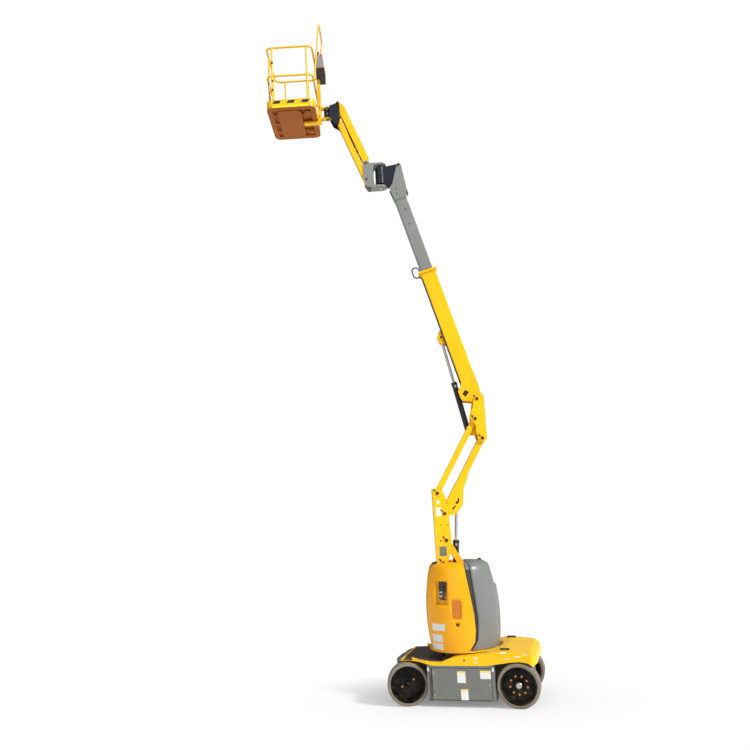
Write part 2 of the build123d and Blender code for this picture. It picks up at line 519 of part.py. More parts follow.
def make_boom():
    """Outer and inner boom sections, the boom foot, the collar and the lift cylinder."""
    outer = box_section(OUTER_START, OUTER_END, OUTER_DEPTH, OUTER_HALF, OUTER_WALL)
    centre = -BOOM_CENTRE
    outer += block(OUTER_END - COLLAR_T, OUTER_END, -OUTER_HALF - COLLAR_LIP, OUTER_HALF + COLLAR_LIP,
                   centre - OUTER_DEPTH / 2 - COLLAR_LIP, centre + OUTER_DEPTH / 2 + COLLAR_LIP) \
        - block(OUTER_END - COLLAR_T - 1, OUTER_END + 1, -OUTER_HALF + OUTER_WALL, OUTER_HALF - OUTER_WALL,
                centre - OUTER_DEPTH / 2 + OUTER_WALL, centre + OUTER_DEPTH / 2 - OUTER_WALL)
    # foot cheeks, outside the box, with a lobe below that carries the levelling cylinder
    cheek = [(OUTER_START + 190, 109), (170, 112), (40, 86), (-48, 42), (-50, -30), (-24, -62), (50, -216),
             (90, -232), (215, -232), (250, -206), (300, -137), (OUTER_START + 190, -137)]
    window = [(150, -70), (200, -120), (150, -185), (90, -150)]
    foot = slab(cheek, OUTER_HALF, OUTER_HALF + 14) - slab(window, OUTER_HALF - 1, OUTER_HALF + 15)
    outer += both(foot)
    outer += rod((0, 0), RISER_HUB_R + 4, -BAR_Y1, BAR_Y1)
    outer -= rod((0, 0), RISER_PIN_R + PIN_PLAY, -200, 200)
    top_of_inner = centre + INNER_DEPTH / 2 + RUNNING_GAP
    outer += block(10, OUTER_START + 20, -OUTER_HALF - 1, OUTER_HALF + 1, top_of_inner, 104)
    # ears for the lift cylinder's rod eye
    ear = [(1275, -136), (1262, -172), (1190, -232), (1070, -236), (1000, -136)]
    outer += both(slab(ear, 44, 58))
    outer += both(rod((BOOM_CYL_EYE[0], -BOOM_CYL_EYE[1]), 34, BOOM_CYL["half"] + SEAT_GAP, 66))
    # wear pads inside the mouth, which guide the inner section
    outer += both(block(OUTER_END - 150, OUTER_END - 6, INNER_HALF + SEAT_GAP, OUTER_HALF - OUTER_WALL + 1,
                        centre - 60, centre + 60))
    for side in (-1, 1):
        lo, hi = sorted((centre + side * (INNER_DEPTH / 2 + SEAT_GAP),
                         centre + side * (OUTER_DEPTH / 2 - OUTER_WALL + 1)))
        outer += block(OUTER_END - 150, OUTER_END - 6, -50, 50, lo, hi)
    node("boom_outer", BOOM_PLANE * outer)

    # hose: it leaves the collar in a loop and runs down the boom's lower face, beside the cylinder's ears
    lie = centre - OUTER_DEPTH / 2 - HOSE_R - SEAT_GAP
    loop = [(OUTER_END + SEAT_GAP, lie), (OUTER_END + 98, lie), (OUTER_END + 98, lie - HOSE_DROP),
            (OUTER_END - 82, lie - HOSE_DROP), (OUTER_END - 82, lie), (330, lie)]
    node("boom_hose", BOOM_PLANE * tube_path([(x, HOSE_Y, z) for x, z in loop], HOSE_R, HOSE_DROP / 2 - 2))

    inner = box_section(INNER_START, INNER_END, INNER_DEPTH, INNER_HALF, INNER_WALL)
    # nose: two plates that run up to the knuckle's pivot, with an open front
    nose = [(3640, 88), (3800, 140), (4205, 186), (4262, 170), (4262, 130), (3934, -68), (3886, -136),
            (3700, -122),
            (3640, -114)]
    inner += both(slab(nose, INNER_HALF, INNER_HALF + 12))
    inner += block(3700, 4120, -INNER_HALF - 1, INNER_HALF + 1, 128, 140)
    pin = (NOSE_PIN[0], -NOSE_PIN[1])
    inner += rod(pin, 20, -INNER_HALF - 12, INNER_HALF + 12)
    inner += both(rod(pin, 30, INNER_HALF + 12, INNER_HALF + 18))
    node("boom_inner", BOOM_PLANE * inner)

    barrel, stem = barrel_and_rod(BOOM_CYL_BASE, in_boom(*BOOM_CYL_EYE), BOOM_CYL)
    node("boom_barrel", barrel)
    node("boom_rod", stem)


# ---------------------------------------------------------------- knuckle, jib and platform
def make_knuckle():
    """The swing actuator between the boom's nose and the jib."""
    pin = in_boom(*NOSE_PIN)
    outline = [(pin[0] - 30, pin[1] + 10), (pin[0] - 10, pin[1] + 30), (SWING_X, ACTUATOR_Z1 - 12),
               (SWING_X, ACTUATOR_Z0 + 30), (SWING_X - 130, 8215), (SWING_X - 172, 8225), (pin[0] + 12,
                                                                                           pin[1] - 34),
               (pin[0] - 24, pin[1] - 20)]
    knuckle = both(slab(outline, INNER_HALF - RUNNING_GAP - 14, INNER_HALF - RUNNING_GAP))
    web = [(SWING_X, ACTUATOR_Z1 - 12), (SWING_X, ACTUATOR_Z0 + 30), (SWING_X - 130, 8215),
           (SWING_X - 150, 8400)]
    knuckle += slab(web, -INNER_HALF + RUNNING_GAP + 13, INNER_HALF - RUNNING_GAP - 13)
    knuckle += rod(pin, 32, -INNER_HALF + RUNNING_GAP, INNER_HALF - RUNNING_GAP)
    knuckle += Pos(SWING_X, 0, (ACTUATOR_Z0 + ACTUATOR_Z1) / 2) * Cylinder(ACTUATOR_R,
                                                                           ACTUATOR_Z1 - ACTUATOR_Z0)
    knuckle += Pos(SWING_X, 0, (CLEVIS_BOTTOM + CLEVIS_TOP) / 2) * Cylinder(26, CLEVIS_TOP - CLEVIS_BOTTOM)
    knuckle -= rod(pin, 20 + PIN_PLAY, -100, 100)
    node("swing_knuckle", knuckle)


def make_jib():
    """Jib base, two links, end bracket and the jib cylinder on the diagonal of the parallelogram."""
    low_foot = JIB_PIN
    high_foot = (JIB_PIN[0], JIB_PIN[1] + JIB_PIN_RISE)
    low_top = offset_point(low_foot, JIB_ANGLE, JIB_LENGTH)
    high_top = offset_point(high_foot, JIB_ANGLE, JIB_LENGTH)

    y0, y1 = JIB_PLATE_Y, JIB_PLATE_Y + JIB_PLATE_T
    outline = [(SWING_X + 108, CLEVIS_BOTTOM), (1092, CLEVIS_BOTTOM), (1150, 8290), (1150, 8670),
               (1080, 8672),
               (1040, CLEVIS_TOP), (SWING_X - 60, CLEVIS_TOP), (SWING_X - 60, CLEVIS_TOP - CLEVIS_T),
               (SWING_X + 96, CLEVIS_TOP - CLEVIS_T - 10), (SWING_X + 112, 8540), (SWING_X + 112, 8280),
               (SWING_X + 100, CLEVIS_BOTTOM + CLEVIS_T)]
    base = both(slab(outline, y0, y1))
    for z0, z1 in ((CLEVIS_BOTTOM, CLEVIS_BOTTOM + CLEVIS_T), (CLEVIS_TOP - CLEVIS_T, CLEVIS_TOP)):
        base += block(SWING_X, 1020 if z0 > 8400 else 1040, -y1, y1, z0, z1)
        base += Pos(SWING_X, 0, (z0 + z1) / 2) * Cylinder(y1, z1 - z0)
    base -= Pos(SWING_X, 0, 8400) * Cylinder(26 + PIN_PLAY, 600)
    base += rod(low_foot, JIB_PIN_R, -y1, y1)
    base += both(rod(high_foot, JIB_PIN_R, JIB_CYL["half"] + SEAT_GAP, y1))
    for pin in (low_foot, high_foot):
        base += both(rod(pin, JIB_PIN_R + 8, y1, y1 + 8))
    node("jib_base", base)

    def jib_link(foot, top, inner, outer, web):
        plane = link_plane(foot, top)
        profile = [(-26, -24), (-26, 24), (60, outer), (JIB_LENGTH - 90, outer), (JIB_LENGTH + 26, 24),
                   (JIB_LENGTH + 26, -24), (JIB_LENGTH - 60, -inner), (60, -inner)]
        bars = both(slab(profile, JIB_BAR_Y0, JIB_BAR_Y1))
        bars += block(150, JIB_LENGTH - 190, -JIB_BAR_Y0 - 1, JIB_BAR_Y0 + 1, *web)
        for at in (0, JIB_LENGTH):
            bars += both(rod((at, 0), JIB_HUB_R, JIB_BAR_Y0, JIB_BAR_Y1 + 4))
            bars -= rod((at, 0), JIB_PIN_R + PIN_PLAY, -200, 200)
        return plane * bars

    node("jib_upper_link", jib_link(high_foot, high_top, 32, 84, (72, 84)))
    node("jib_lower_link", jib_link(low_foot, low_top, 42, 40, (-42, -34)))

    bracket = [(high_top[0] - 28, high_top[1] - 10), (high_top[0] - 6, high_top[1] + 30),
               (high_top[0] + 40, high_top[1] - 8), (TURN_X - 30, 9745), (TURN_X - 30, 9560), (1640, 9440),
               (low_top[0] - 6, low_top[1] - 120), (low_top[0] - 30, low_top[1] - 10)]
    end = both(slab(bracket, y0, y1))
    end += block(TURN_X - 112, TURN_X - 60, -y1, y1, 9580, 9724)
    end += Pos(TURN_X, 0, TURN_Z) * Cylinder(70, 169) + Pos(TURN_X, 0, TURN_Z) * Cylinder(TURN_PIN_R, 240)
    for pin in (low_top, high_top):
        end += rod(pin, JIB_PIN_R, -y1, y1)
        end += both(rod(pin, JIB_PIN_R + 8, y1, y1 + 8))
    node("jib_end", end)

    barrel, stem = barrel_and_rod(low_top, high_foot, JIB_CYL)
    node("jib_barrel", barrel)
    node("jib_rod", stem)


def make_platform():
    """Support mast, floor with toe boards, guard rails, entry bar and control console."""
    mast_x = FLOOR_X0 - 4
    pivot = Pos(TURN_X, 0, TURN_Z)
    mount = None
    for z in (TURN_Z - 100, TURN_Z + 100):
        arm = Pos(TURN_X, 0, z) * Cylinder(52, 30) + block(TURN_X, mast_x, -44, 44, z - 15, z + 15)
        mount = arm if mount is None else mount + arm
    mount -= pivot * Cylinder(TURN_PIN_R + PIN_PLAY, 300)
    mount += block(mast_x - 56, mast_x - 4, -46, 46, FLOOR_Z - 34, CONSOLE_Z)
    mount += block(mast_x - 56, FLOOR_X0 + 240, -46, 46, FLOOR_Z - 34, FLOOR_Z - SEAT_GAP)
    node("platform_mount", mount)

    centre_x, deep, wide = (FLOOR_X0 + FLOOR_X1) / 2, FLOOR_X1 - FLOOR_X0, 2 * FLOOR_HALF

    def slab_of(trim, z0, z1):
        """The platform's rounded plan between two heights, trimmed all round."""
        plate = Pos(centre_x, 0, (z0 + z1) / 2) * Box(deep - 2 * trim, wide - 2 * trim, z1 - z0)
        return fillet(plate.edges().filter_by(Axis.Z), FLOOR_CORNER - trim)

    top_z = FLOOR_Z + FLOOR_T
    floor = slab_of(0, FLOOR_Z, top_z) - slab_of(90, FLOOR_Z - 1, FLOOR_Z + FLOOR_T - 16)
    for y in (-260, 0, 260):
        floor += block(FLOOR_X0 + 60, FLOOR_X1 - 60, y - 30, y + 30, FLOOR_Z, top_z - 10)
    floor += slab_of(TREAD_INSET, top_z - 1, top_z + TREAD_H)
    node("platform_floor", floor)

    gate = (FLOOR_X0 + 200, FLOOR_X1 - 200)
    toe = slab_of(0, top_z + SEAT_GAP, top_z + TOE_H) - slab_of(TOE_T, top_z, top_z + TOE_H + 1)
    toe -= block(gate[0], gate[1], -FLOOR_HALF - 5, -FLOOR_HALF + 20, top_z, top_z + TOE_H + 1)
    node("toe_boards", toe)

    inset = TOE_T + SEAT_GAP + RAIL_R
    x0, x1, y = FLOOR_X0 + inset, FLOOR_X1 - inset, FLOOR_HALF - inset
    top, mid, base = top_z + RAIL_H - RAIL_R, top_z + MID_RAIL, top_z + SEAT_GAP
    rails = None
    for z in (top, mid):
        ring = tube_path([(gate[1], -y, z), (x1, -y, z), (x1, y, z), (x0, y, z), (x0, -y, z),
                          (gate[0], -y, z)],
                         RAIL_R, RAIL_BEND)
        rails = ring if rails is None else rails + ring
    posts = [(x1 - RAIL_BEND, y), (x0 + RAIL_BEND, y), (x1, 250), (x1, -250), (gate[1], -y), (gate[0], -y)]
    for px, py in posts:
        rails += Pos(px, py, (base + top) / 2) * Cylinder(RAIL_R - 1, top - base)
    # rail over the entry, and the guard hoop that leans out over the console
    rails += Pos(centre_x, -y, top) * Rot(0, 90, 0) * Cylinder(RAIL_R - 1, gate[1] - gate[0])
    hoop_x = x0 - HOOP_LEAN
    hoop = [(x0, HOOP_HALF, mid), (hoop_x, HOOP_HALF, HOOP_Z), (hoop_x, -HOOP_HALF, HOOP_Z),
            (x0, -HOOP_HALF, mid)]
    rails += tube_path(hoop, HOOP_R, 70)
    node("guard_rails", rails)

    # entry bar: it hangs on sleeves that slide up the posts beside the entry
    gap_mid = (gate[0] + gate[1]) / 2
    bar = Pos(gap_mid, -y, mid + 60) * Rot(0, 90, 0) * Cylinder(RAIL_R - 3, gate[1] - gate[0])
    for x in gate:
        sleeve = Pos(x, -y, mid + 60)
        bar = bar + sleeve * Cylinder(RAIL_R + 6, 70) - sleeve * Cylinder(RAIL_R - 1 + SEAT_GAP, 72)
    node("entry_bar", bar)
    case = block(mast_x - 150, mast_x - 6, -125, 125, CONSOLE_Z + SEAT_GAP, CONSOLE_Z + 176)
    node("console_case", case)
    z = CONSOLE_Z + 176 + SEAT_GAP
    side = [(mast_x - 6, z), (mast_x - 150, z), (mast_x - 128, z + 198), (mast_x - 22, z + 212)]
    console = slab(side, -140, 140)
    console += Pos(mast_x - 60, 70, z + 205) * Cone(14, 9, 70) + Pos(mast_x - 100, -80,
                                                                     z + 205) * Cylinder(20, 36)
    node("control_console", console)


def build():
    """Builds every sub-part and writes one STEP file per node."""
    os.makedirs("parts", exist_ok=True)
    make_chassis()
    make_deck()
    for x, steered in ((AXLE_X, True), (-AXLE_X, False)):
        for side in (1, -1):
            make_wheel(x, side, steered)
    make_turret()
    arm_top, link_top = make_riser()
    make_head(arm_top, link_top)
    make_boom()
    make_knuckle()
    make_jib()
    make_platform()
    for name, shape in NODES.items():
        export_step(shape, f"parts/{name}.step")


build()
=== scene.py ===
import logging
import math
from dataclasses import dataclass
from enum import Enum
from functools import cache
from typing import Callable, Sequence

import bmesh
import bpy
from mathutils import Matrix, Vector


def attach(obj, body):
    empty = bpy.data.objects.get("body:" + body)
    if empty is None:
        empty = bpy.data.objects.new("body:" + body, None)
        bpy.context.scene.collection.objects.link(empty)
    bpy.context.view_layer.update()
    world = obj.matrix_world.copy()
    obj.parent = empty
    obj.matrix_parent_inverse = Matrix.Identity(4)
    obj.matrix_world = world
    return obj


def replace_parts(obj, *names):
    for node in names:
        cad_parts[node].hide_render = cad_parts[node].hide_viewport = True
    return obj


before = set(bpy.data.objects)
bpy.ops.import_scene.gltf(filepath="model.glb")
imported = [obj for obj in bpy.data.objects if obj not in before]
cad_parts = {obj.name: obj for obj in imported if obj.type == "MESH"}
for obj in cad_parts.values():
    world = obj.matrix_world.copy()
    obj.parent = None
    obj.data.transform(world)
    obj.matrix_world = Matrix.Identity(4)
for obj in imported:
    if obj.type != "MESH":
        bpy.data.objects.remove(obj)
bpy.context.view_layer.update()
LOG = logging.getLogger("boom_lift")

Point = tuple[float, float, float]
Colour = tuple[float, float, float]
Pair = tuple[float, float]
Spots = Sequence[Pair]
Socket, Tree = bpy.types.NodeSocket, bpy.types.NodeTree
Table = tuple[tuple[float, ...], ...]
SLEW_TURN = math.radians(14.4)
SLEW = Matrix.Rotation(SLEW_TURN, 4, "Z")
STEER = math.radians(14.0)
BOTH = (1, -1)
FOIL = 0.0006
ALONG_X, ALONG_Y, UP = (1, 0, 0), (0, 1, 0), (0, 0, 1)
# bosses, as Piece.disc takes them: radius, height, sides, softened edge, radius at the top
BOLT = (0.008, 0.006, 6, 0.001)
KEEPER_BOLT = (0.0065, 0.005, 6, 0.0008)
FRAME_BOLT = (0.0065, 0.0045, 6, 0.0008)
EYE_BOLT = (0.016, 0.008, 6, 0.0015)
RING_BOLT = (0.010, 0.012, 6, 0.001)
SCREW = (0.005, 0.003, 16, 0.0008)
TOGGLE_NUT = (0.008, 0.004, 6, 0.0008)
TOGGLE = (0.003, 0.02, 12, 0.0008, 0.0042)
LATCH = (0.017, 0.006, 28, 0.0015)
DRAIN_PLUG = (0.012, 0.002, 20, 0.0006)
HUB_NUT = (0.02, 0.006, 6, 0.001)
RIVET = (0.0035, 0.0015, 12)
POST_NUT = (0.013, 0.006, 6, 0.001)
POST_BOSS = (0.0085, 0.003, 16, 0.0008)
CHEEK_BOLT = (0.009, 0.006, 6, 0.001)
FOOT_BOLT = (0.008, 0.005, 6, 0.001)
PAD_STUD = (0.03, 0.00112, 28)
PAD_CORE = (0.015, 0.00038, 6)
SWING_BOLT = (0.007, 0.006, 6, 0.001)
SWING_CAP = (0.03, 0.008, 24, 0.002)
TURN_NUT = (0.017, 0.006, 6, 0.001)
PAN_STUD = (0.062, 0.012, 28, 0.008)
LEVER_BOOT = (0.03, 0.035, 24, 0.003, 0.014)
LEVER = (0.012, 0.095, 20, 0.004, 0.016)
CONSOLE_STOP = (0.022, 0.058, 28, 0.003, 0.025)
CONSOLE_TOGGLE = (0.006, 0.014, 12, 0.001, 0.004)
CONSOLE_SCREW = (0.006, 0.003, 6, 0.0008)
MAST_BOLT = (0.007, 0.005, 6, 0.001)
SWING_PORT = (0.008, 0.01, 16, 0.001)
TURN_PORT = (0.008, 0.008, 16, 0.001)
WHEEL_NUT = ((0.015, 0.003), (0.0115, 0.013, 6, 0.0015), (0.006, 0.019, 12, 0.001))
DOOR_SCREW = ((0.012, 0.003, 20, 0.001), (0.0075, 0.007, 6, 0.001))
UNION = (0.014, 0.012, 6, 0.001)
KNOB = ((0.026, 0.010, 24, 0.002), (0.014, 0.010, 20, 0.002))
STOP = ((0.010, 0.012, 16), (0.020, 0.013, 28, 0.003, 0.024))
FILLER_CAP = ((0.034, 0.012, 24, 0.003), (0.022, 0.010, 8, 0.002))
# plates, as Piece.plate takes them: width, height, thickness, rounded corners, softened edge
KEEPER = (0.02, 0.062, 0.006, 0.004, 0.001)
JAMB_PLATE = (0.03, 0.062, 0.0008, 0.003)
CLEAT = (0.13, 0.05, 0.022, 0.008, 0.003)
KEY_PAD = (0.06, 0.036, 0.004, 0.004, 0.001)
SCREEN = (0.05, 0.018, 0.0008, 0.002)
VENT = (0.126, 0.254, 0.006, 0.008, 0.0015)
LATCH_SLOT = (0.007, 0.026, 0.006, 0.003)
APRON = (0.12, 0.28, 0.012, 0.03, 0.004)
RATING_PLATE = (0.108, 0.142, 0.0012, 0.004)
FAN_SLOT = (0.024, 0.075, 0.0015, 0.011)
WEAR_PAD = (0.011, 0.12, 0.008, 0.002)
# a dark plate inside the boom's foot: painted shade for the far cheek in shadow, seen through the foot's
# holes
FOOT_SHADE_PLATE = (0.13, 0.13, 0.0012, 0.02)
BOOM_SLOT = (0.036, 0.014, 0.001, 0.006)
SADDLE = (0.03, 0.03, 0.0025, 0.003, 0.001)
FLOOR_PAN = (0.42, 0.86, 0.014, 0.08, 0.012)
CONSOLE_BAR = (0.152, 0.262, 0.026, 0.006, 0.002)
GRIP_PAD = (0.12, 0.06, 0.004, 0.005, 0.001)
# closed sections of turned pieces: corners as radius and height
RIM_LIP = ((0.2265, 0.0885), (0.2545, 0.0885), (0.2545, 0.0958), (0.25, 0.0968), (0.231, 0.0945))
DISC_STEP = ((0.196, 0.0), (0.212, 0.0), (0.208, 0.006), (0.2, 0.006))
HUB_STEP = ((0.064, 0.0), (0.082, 0.0), (0.078, 0.007), (0.066, 0.007))
HUB_RING = ((0.064, 0.0), (0.078, 0.0), (0.076, 0.008), (0.066, 0.008))
TIE_EYE = ((0.0245, 0.0), (0.037, 0.0), (0.035, 0.007), (0.0265, 0.007))
LATCH_BOWL = ((0.05, -0.006), (0.076, -0.006), (0.072, 0.0035), (0.062, 0.004), (0.052, 0.0005))
STOP_COLLAR = ((0.0115, 0.0), (0.029, 0.0), (0.027, 0.003), (0.0115, 0.003))
TURN_WASHER = ((0.0215, 0.0), (0.038, 0.0), (0.036, 0.004), (0.0225, 0.004))


def srgb(red: int, green: int, blue: int) -> Colour:
    """Gives the linear colour, from 0 to 1, of an 8-bit one."""
    parts = (part / 255 for part in (red, green, blue))
    return tuple(part / 12.92 if part < 11 / 255 else ((part + 0.055) / 1.055) ** 2.4 for part in parts)


def polar(angle: float, length: float) -> Pair:
    """Gives the two parts of a length at an angle in degrees above the first axis."""
    return length * math.cos(math.radians(angle)), length * math.sin(math.radians(angle))


def seat(at: Point, out: Point, up: Point = UP, slewed: bool = True) -> Matrix:
    """Makes the frame of a spot on a surface.

    Args:
        at: the spot.
        out: the direction out of the surface, which becomes local Z.
        up: the direction that local Y leans towards.
        slewed: whether the spot is given before the turret's turn.

    Returns:
        The matrix from local to world coordinates.
    """
    z = Vector(out).normalized()
    x = Vector(up).cross(z).normalized()
    matrix = Matrix((x, z.cross(x), z)).transposed().to_4x4()
    matrix.translation = Vector(at)
    return SLEW @ matrix if slewed else matrix


def flank(x: float, y: float, z: float, side: int) -> Matrix:
    """Gives a seat that faces sideways, y out from the boom's plane."""
    return seat((x, side * y, z), (0, side, 0))


def hull(x: float, y: float, z: float, side: int = 1) -> Matrix:
    """Gives a seat that faces sideways on the chassis, which doesn't slew."""
    return seat((x, side * y, z), (0, side, 0), slewed=False)


def level(x: float, y: float, z: float, out: int = 1, up: Point = ALONG_X) -> Matrix:
    """Gives a seat that faces up, or down where out is -1."""
    return seat((x, y, z), (0, 0, out), up)


def shift(at: Matrix, x: float = 0.0, y: float = 0.0, z: float = 0.0) -> Matrix:
    """Moves a seat along its own axes."""
    return at @ Matrix.Translation((x, y, z))


def turned(at: Matrix, angle: float, axis: str = "Z") -> Matrix:
    """Turns a seat about one of its own axes, by an angle in radians."""
    return at @ Matrix.Rotation(angle, 4, axis)


def sleeve(inner: float, outer: float, low: float, high: float) -> Spots:
    """Gives the oblong section of a sleeve."""
    return (inner, low), (outer, low), (outer, high), (inner, high)


# ------------------------------------------------------------------ shader layer
def feed(tree: Tree, socket: Socket, value: object) -> None:
    """Gives an input its number or colour, or links it.

    Args:
        tree: the socket's tree.
        socket: the input.
        value: a number, a colour, a Value or an output socket.
    """
    if isinstance(value, Value):
        value = value.socket
    if isinstance(value, Socket):
        tree.links.new(value, socket)
    else:
        socket.default_value = (*value, 1) if socket.type == "RGBA" and len(value) == 3 else value


def add_node(tree: Tree, kind: str, inputs: dict | None = None,
             **settings: object) -> bpy.types.Node:
    """Adds a node.

    Args:
        tree: the tree that it joins.
        kind: its type, without the usual start.
        inputs: what feeds its inputs, by name or place.
        settings: its properties, which are set first.

    Returns:
        The node.
    """
    made = tree.nodes.new(f"ShaderNode{kind}")
    for key, value in settings.items():
        setattr(made, key, value)
    for key, value in (inputs or {}).items():
        feed(tree, made.inputs[key], value)
    return made


def operator(operation: str, flipped: bool = False) -> "Callable[..., Value]":
    """Makes one of Value's operators.

    Args:
        operation: the Math node's operation.
        flipped: whether the other operand comes first.

    Returns:
        The method.
    """
    def apply(value: "Value", other: "Value | float" = 0.0) -> "Value":
        """Adds the Math node."""
        return value.combine(operation, *((other, value) if flipped else (value, other)))

    return apply


class Value:
    """A number that varies over a surface, usable in sums."""

    __add__, __radd__ = operator("ADD"), operator("ADD", True)
    __sub__, __rsub__ = operator("SUBTRACT"), operator("SUBTRACT", True)
    __mul__, __rmul__ = operator("MULTIPLY"), operator("MULTIPLY", True)
    __truediv__, __rtruediv__ = operator("DIVIDE"), operator("DIVIDE", True)
    __abs__ = operator("ABSOLUTE")

    def __init__(self, graph: "Graph", socket: Socket) -> None:
        """Wraps an output socket of a graph."""
        self.graph, self.socket = graph, socket

    def combine(self, operation: str, first: "Value | float", second: "Value | float") -> "Value":
        """Adds one Math node and gives its result."""
        made = self.graph.node("Math", {0: first, 1: second}, operation=operation)
        return Value(self.graph, made.outputs[0])

    def rise(self, low: float, high: float) -> "Value":
        """Runs smoothly from 0 at low to 1 at high, where low may be the higher.

        Args:
            low: where the result is 0.
            high: where the result is 1.

        Returns:
            The smooth step.
        """
        made = self.graph.node("MapRange", {"Value": self, "From Min": low, "From Max": high},
                               interpolation_type="SMOOTHSTEP")
        return Value(self.graph, made.outputs["Result"])

    def wave(self, pitch: float) -> "Value":
        """Runs from 0 to 1 and back in each pitch."""
        return self.combine("PINGPONG", self, pitch / 2) / (pitch / 2)


class Graph:
    """The node tree of one material."""

    def __init__(self, name: str) -> None:
        """Starts a material with a plain shader and its output.

        Args:
            name: the material's name.
        """
        self.material = bpy.data.materials.new(name)
        self.material.use_nodes = True
        self.tree = self.material.node_tree
        self.tree.nodes.clear()
        self.shader = self.node("BsdfPrincipled")
        self.output = self.node("OutputMaterial", {"Surface": self.shader.outputs[0]})
        self.coords = self.node("TexCoord").outputs["Object"]

    def node(self, kind: str, inputs: dict | None = None, **settings: object) -> bpy.types.Node:
        """Adds a node, as add_node does."""
        return add_node(self.tree, kind, inputs, **settings)

    def place(self, scale: Point = (1, 1, 1), turn: float = 0.0) -> Socket:
        """Gives object coordinates, turned about Z and then stretched."""
        spun = self.node("Mapping", {"Vector": self.coords, "Rotation": (0, 0, -turn)})
        return self.node("Mapping", {"Vector": spun.outputs[0], "Scale": scale}).outputs[0]

    def noise(self, scale: float, detail: float = 3.0, stretch: Point = (1, 1, 1)) -> Value:
        """Gives a cloudy value about 0.5."""
        made = self.node("TexNoise", {"Vector": self.place(stretch), "Scale": scale, "Detail": detail})
        return Value(self, made.outputs[0])

    def grains(self, scale: float) -> Value:
        """Gives the distance to scattered grains."""
        made = self.node("TexVoronoi", {"Vector": self.coords, "Scale": scale})
        return Value(self, made.outputs["Distance"])

    def axis(self, name: str, turn: float = 0.0) -> Value:
        """Gives one object coordinate, before a turn about Z."""
        return Value(self, self.node("SeparateXYZ", {0: self.place(turn=turn)}).outputs[name])

    def facing_up(self) -> Value:
        """Gives how far the surface faces up."""
        normal = self.node("NewGeometry").outputs["Normal"]
        return Value(self, self.node("SeparateXYZ", {0: normal}).outputs["Z"])

    def mix(self, amount: Value, first: object, second: object) -> Socket:
        """Blends two colours or colour sockets, from the first at 0 to the second at 1."""
        return self.node("Mix", {0: amount, 6: first, 7: second}, data_type="RGBA").outputs[2]

    def bump(self, height: Value, strength: float, distance: float) -> None:
        """Raises the surface by a height."""
        made = self.node("Bump", {"Height": height, "Strength": strength, "Distance": distance})
        self.tree.links.new(made.outputs[0], self.shader.inputs["Normal"])

    def dress(self, **sockets: object) -> None:
        """Sets or links the shader's sockets, named with underscores for spaces."""
        for key, value in sockets.items():
            feed(self.tree, self.shader.inputs[key.replace("_", " ")], value)


# ------------------------------------------------------------------ finishes
class Grime(Enum):
    """How much dust and wear a finish has taken."""

    CLEAN = 0.25
    USED = 0.6


@dataclass(frozen=True)
class Finish:
    """A finish, which lay() gives to the graph of its own material."""

    name: str
    colour: Colour

    def build(self) -> bpy.types.Material:
        """Builds the material."""
        graph = Graph(self.name)
        self.lay(graph)
        return graph.material


@dataclass(frozen=True)
class Paint(Finish):
    """Sprayed enamel on plate: soft colour drift, orange peel, chips and dust."""

    shade: Colour
    rough: float = 0.38
    coat: float = 0.12
    peel: float = 0.05
    grime: Grime = Grime.CLEAN
    gloss: float = 0.22

    def lay(self, graph: Graph) -> None:
        """Lays the paint on its primer.

        Args:
            graph: the material\'s graph.
        """
        colour, rough = self.coats(graph)
        graph.dress(Base_Color=colour, Roughness=rough, Coat_Weight=self.coat, Coat_Roughness=0.22,
                    Specular_IOR_Level=self.gloss)
        graph.bump(graph.noise(330, 2) * 0.7 + graph.noise(60, 2) * 0.5, self.peel, 0.002)

    def coats(self, graph: Graph) -> tuple[Socket, Value]:
        """Lays the colour coats, the chips and the dust.

        Args:
            graph: the material's graph.

        Returns:
            The colour socket and the roughness.
        """
        dirt = self.grime.value
        drift = graph.noise(1.6, 4).rise(0.35, 0.75)
        streak = graph.noise(7, 3, (1, 1, 0.12)).rise(0.5, 0.85)
        colour = graph.mix(drift * 0.30 + streak * (0.16 * dirt), self.colour, self.shade)
        chips = graph.noise(95, 5).rise(0.715, 0.735) * graph.noise(4, 2).rise(0.55, 0.7)
        colour = graph.mix(chips * dirt, colour, srgb(70, 62, 56))
        dust = graph.axis("Z").rise(0.75, 0.05) * graph.noise(9, 5).rise(0.38, 0.72)
        colour = graph.mix(dust * (0.5 * dirt), colour, srgb(150, 138, 120))
        smear = graph.noise(13, 4).rise(0.4, 0.8)
        return colour, smear * 0.14 + dust * 0.3 + (self.rough - 0.04)


@dataclass(frozen=True)
class DeckMoulding(Paint):
    """Moulded deck: smooth painted skin with a dark gritted tread in front."""

    tread: Colour = srgb(52, 40, 34)

    def lay(self, graph: Graph) -> None:
        """Lays the paint, and the tread where the deck is flat in front.

        Args:
            graph: the material\'s graph.
        """
        colour, rough = self.coats(graph)
        front = graph.axis("X").rise(0.10, 0.13) * graph.axis("X").rise(0.848, 0.842)
        tread = graph.facing_up().rise(0.55, 0.75) * (front * abs(graph.axis("Y")).rise(0.553, 0.549))
        mottle = graph.mix(graph.noise(30, 4).rise(0.35, 0.7), self.tread, srgb(82, 62, 48))
        graph.dress(Base_Color=graph.mix(tread, colour, mottle), Roughness=rough + tread * 0.35,
                    Coat_Weight=0.08, Coat_Roughness=0.3, Specular_IOR_Level=0.28)
        grit = graph.grains(420).rise(0.2, 0.75)
        graph.bump(graph.noise(240, 2) * 0.4 + grit * tread * 1.2, 0.22, 0.002)


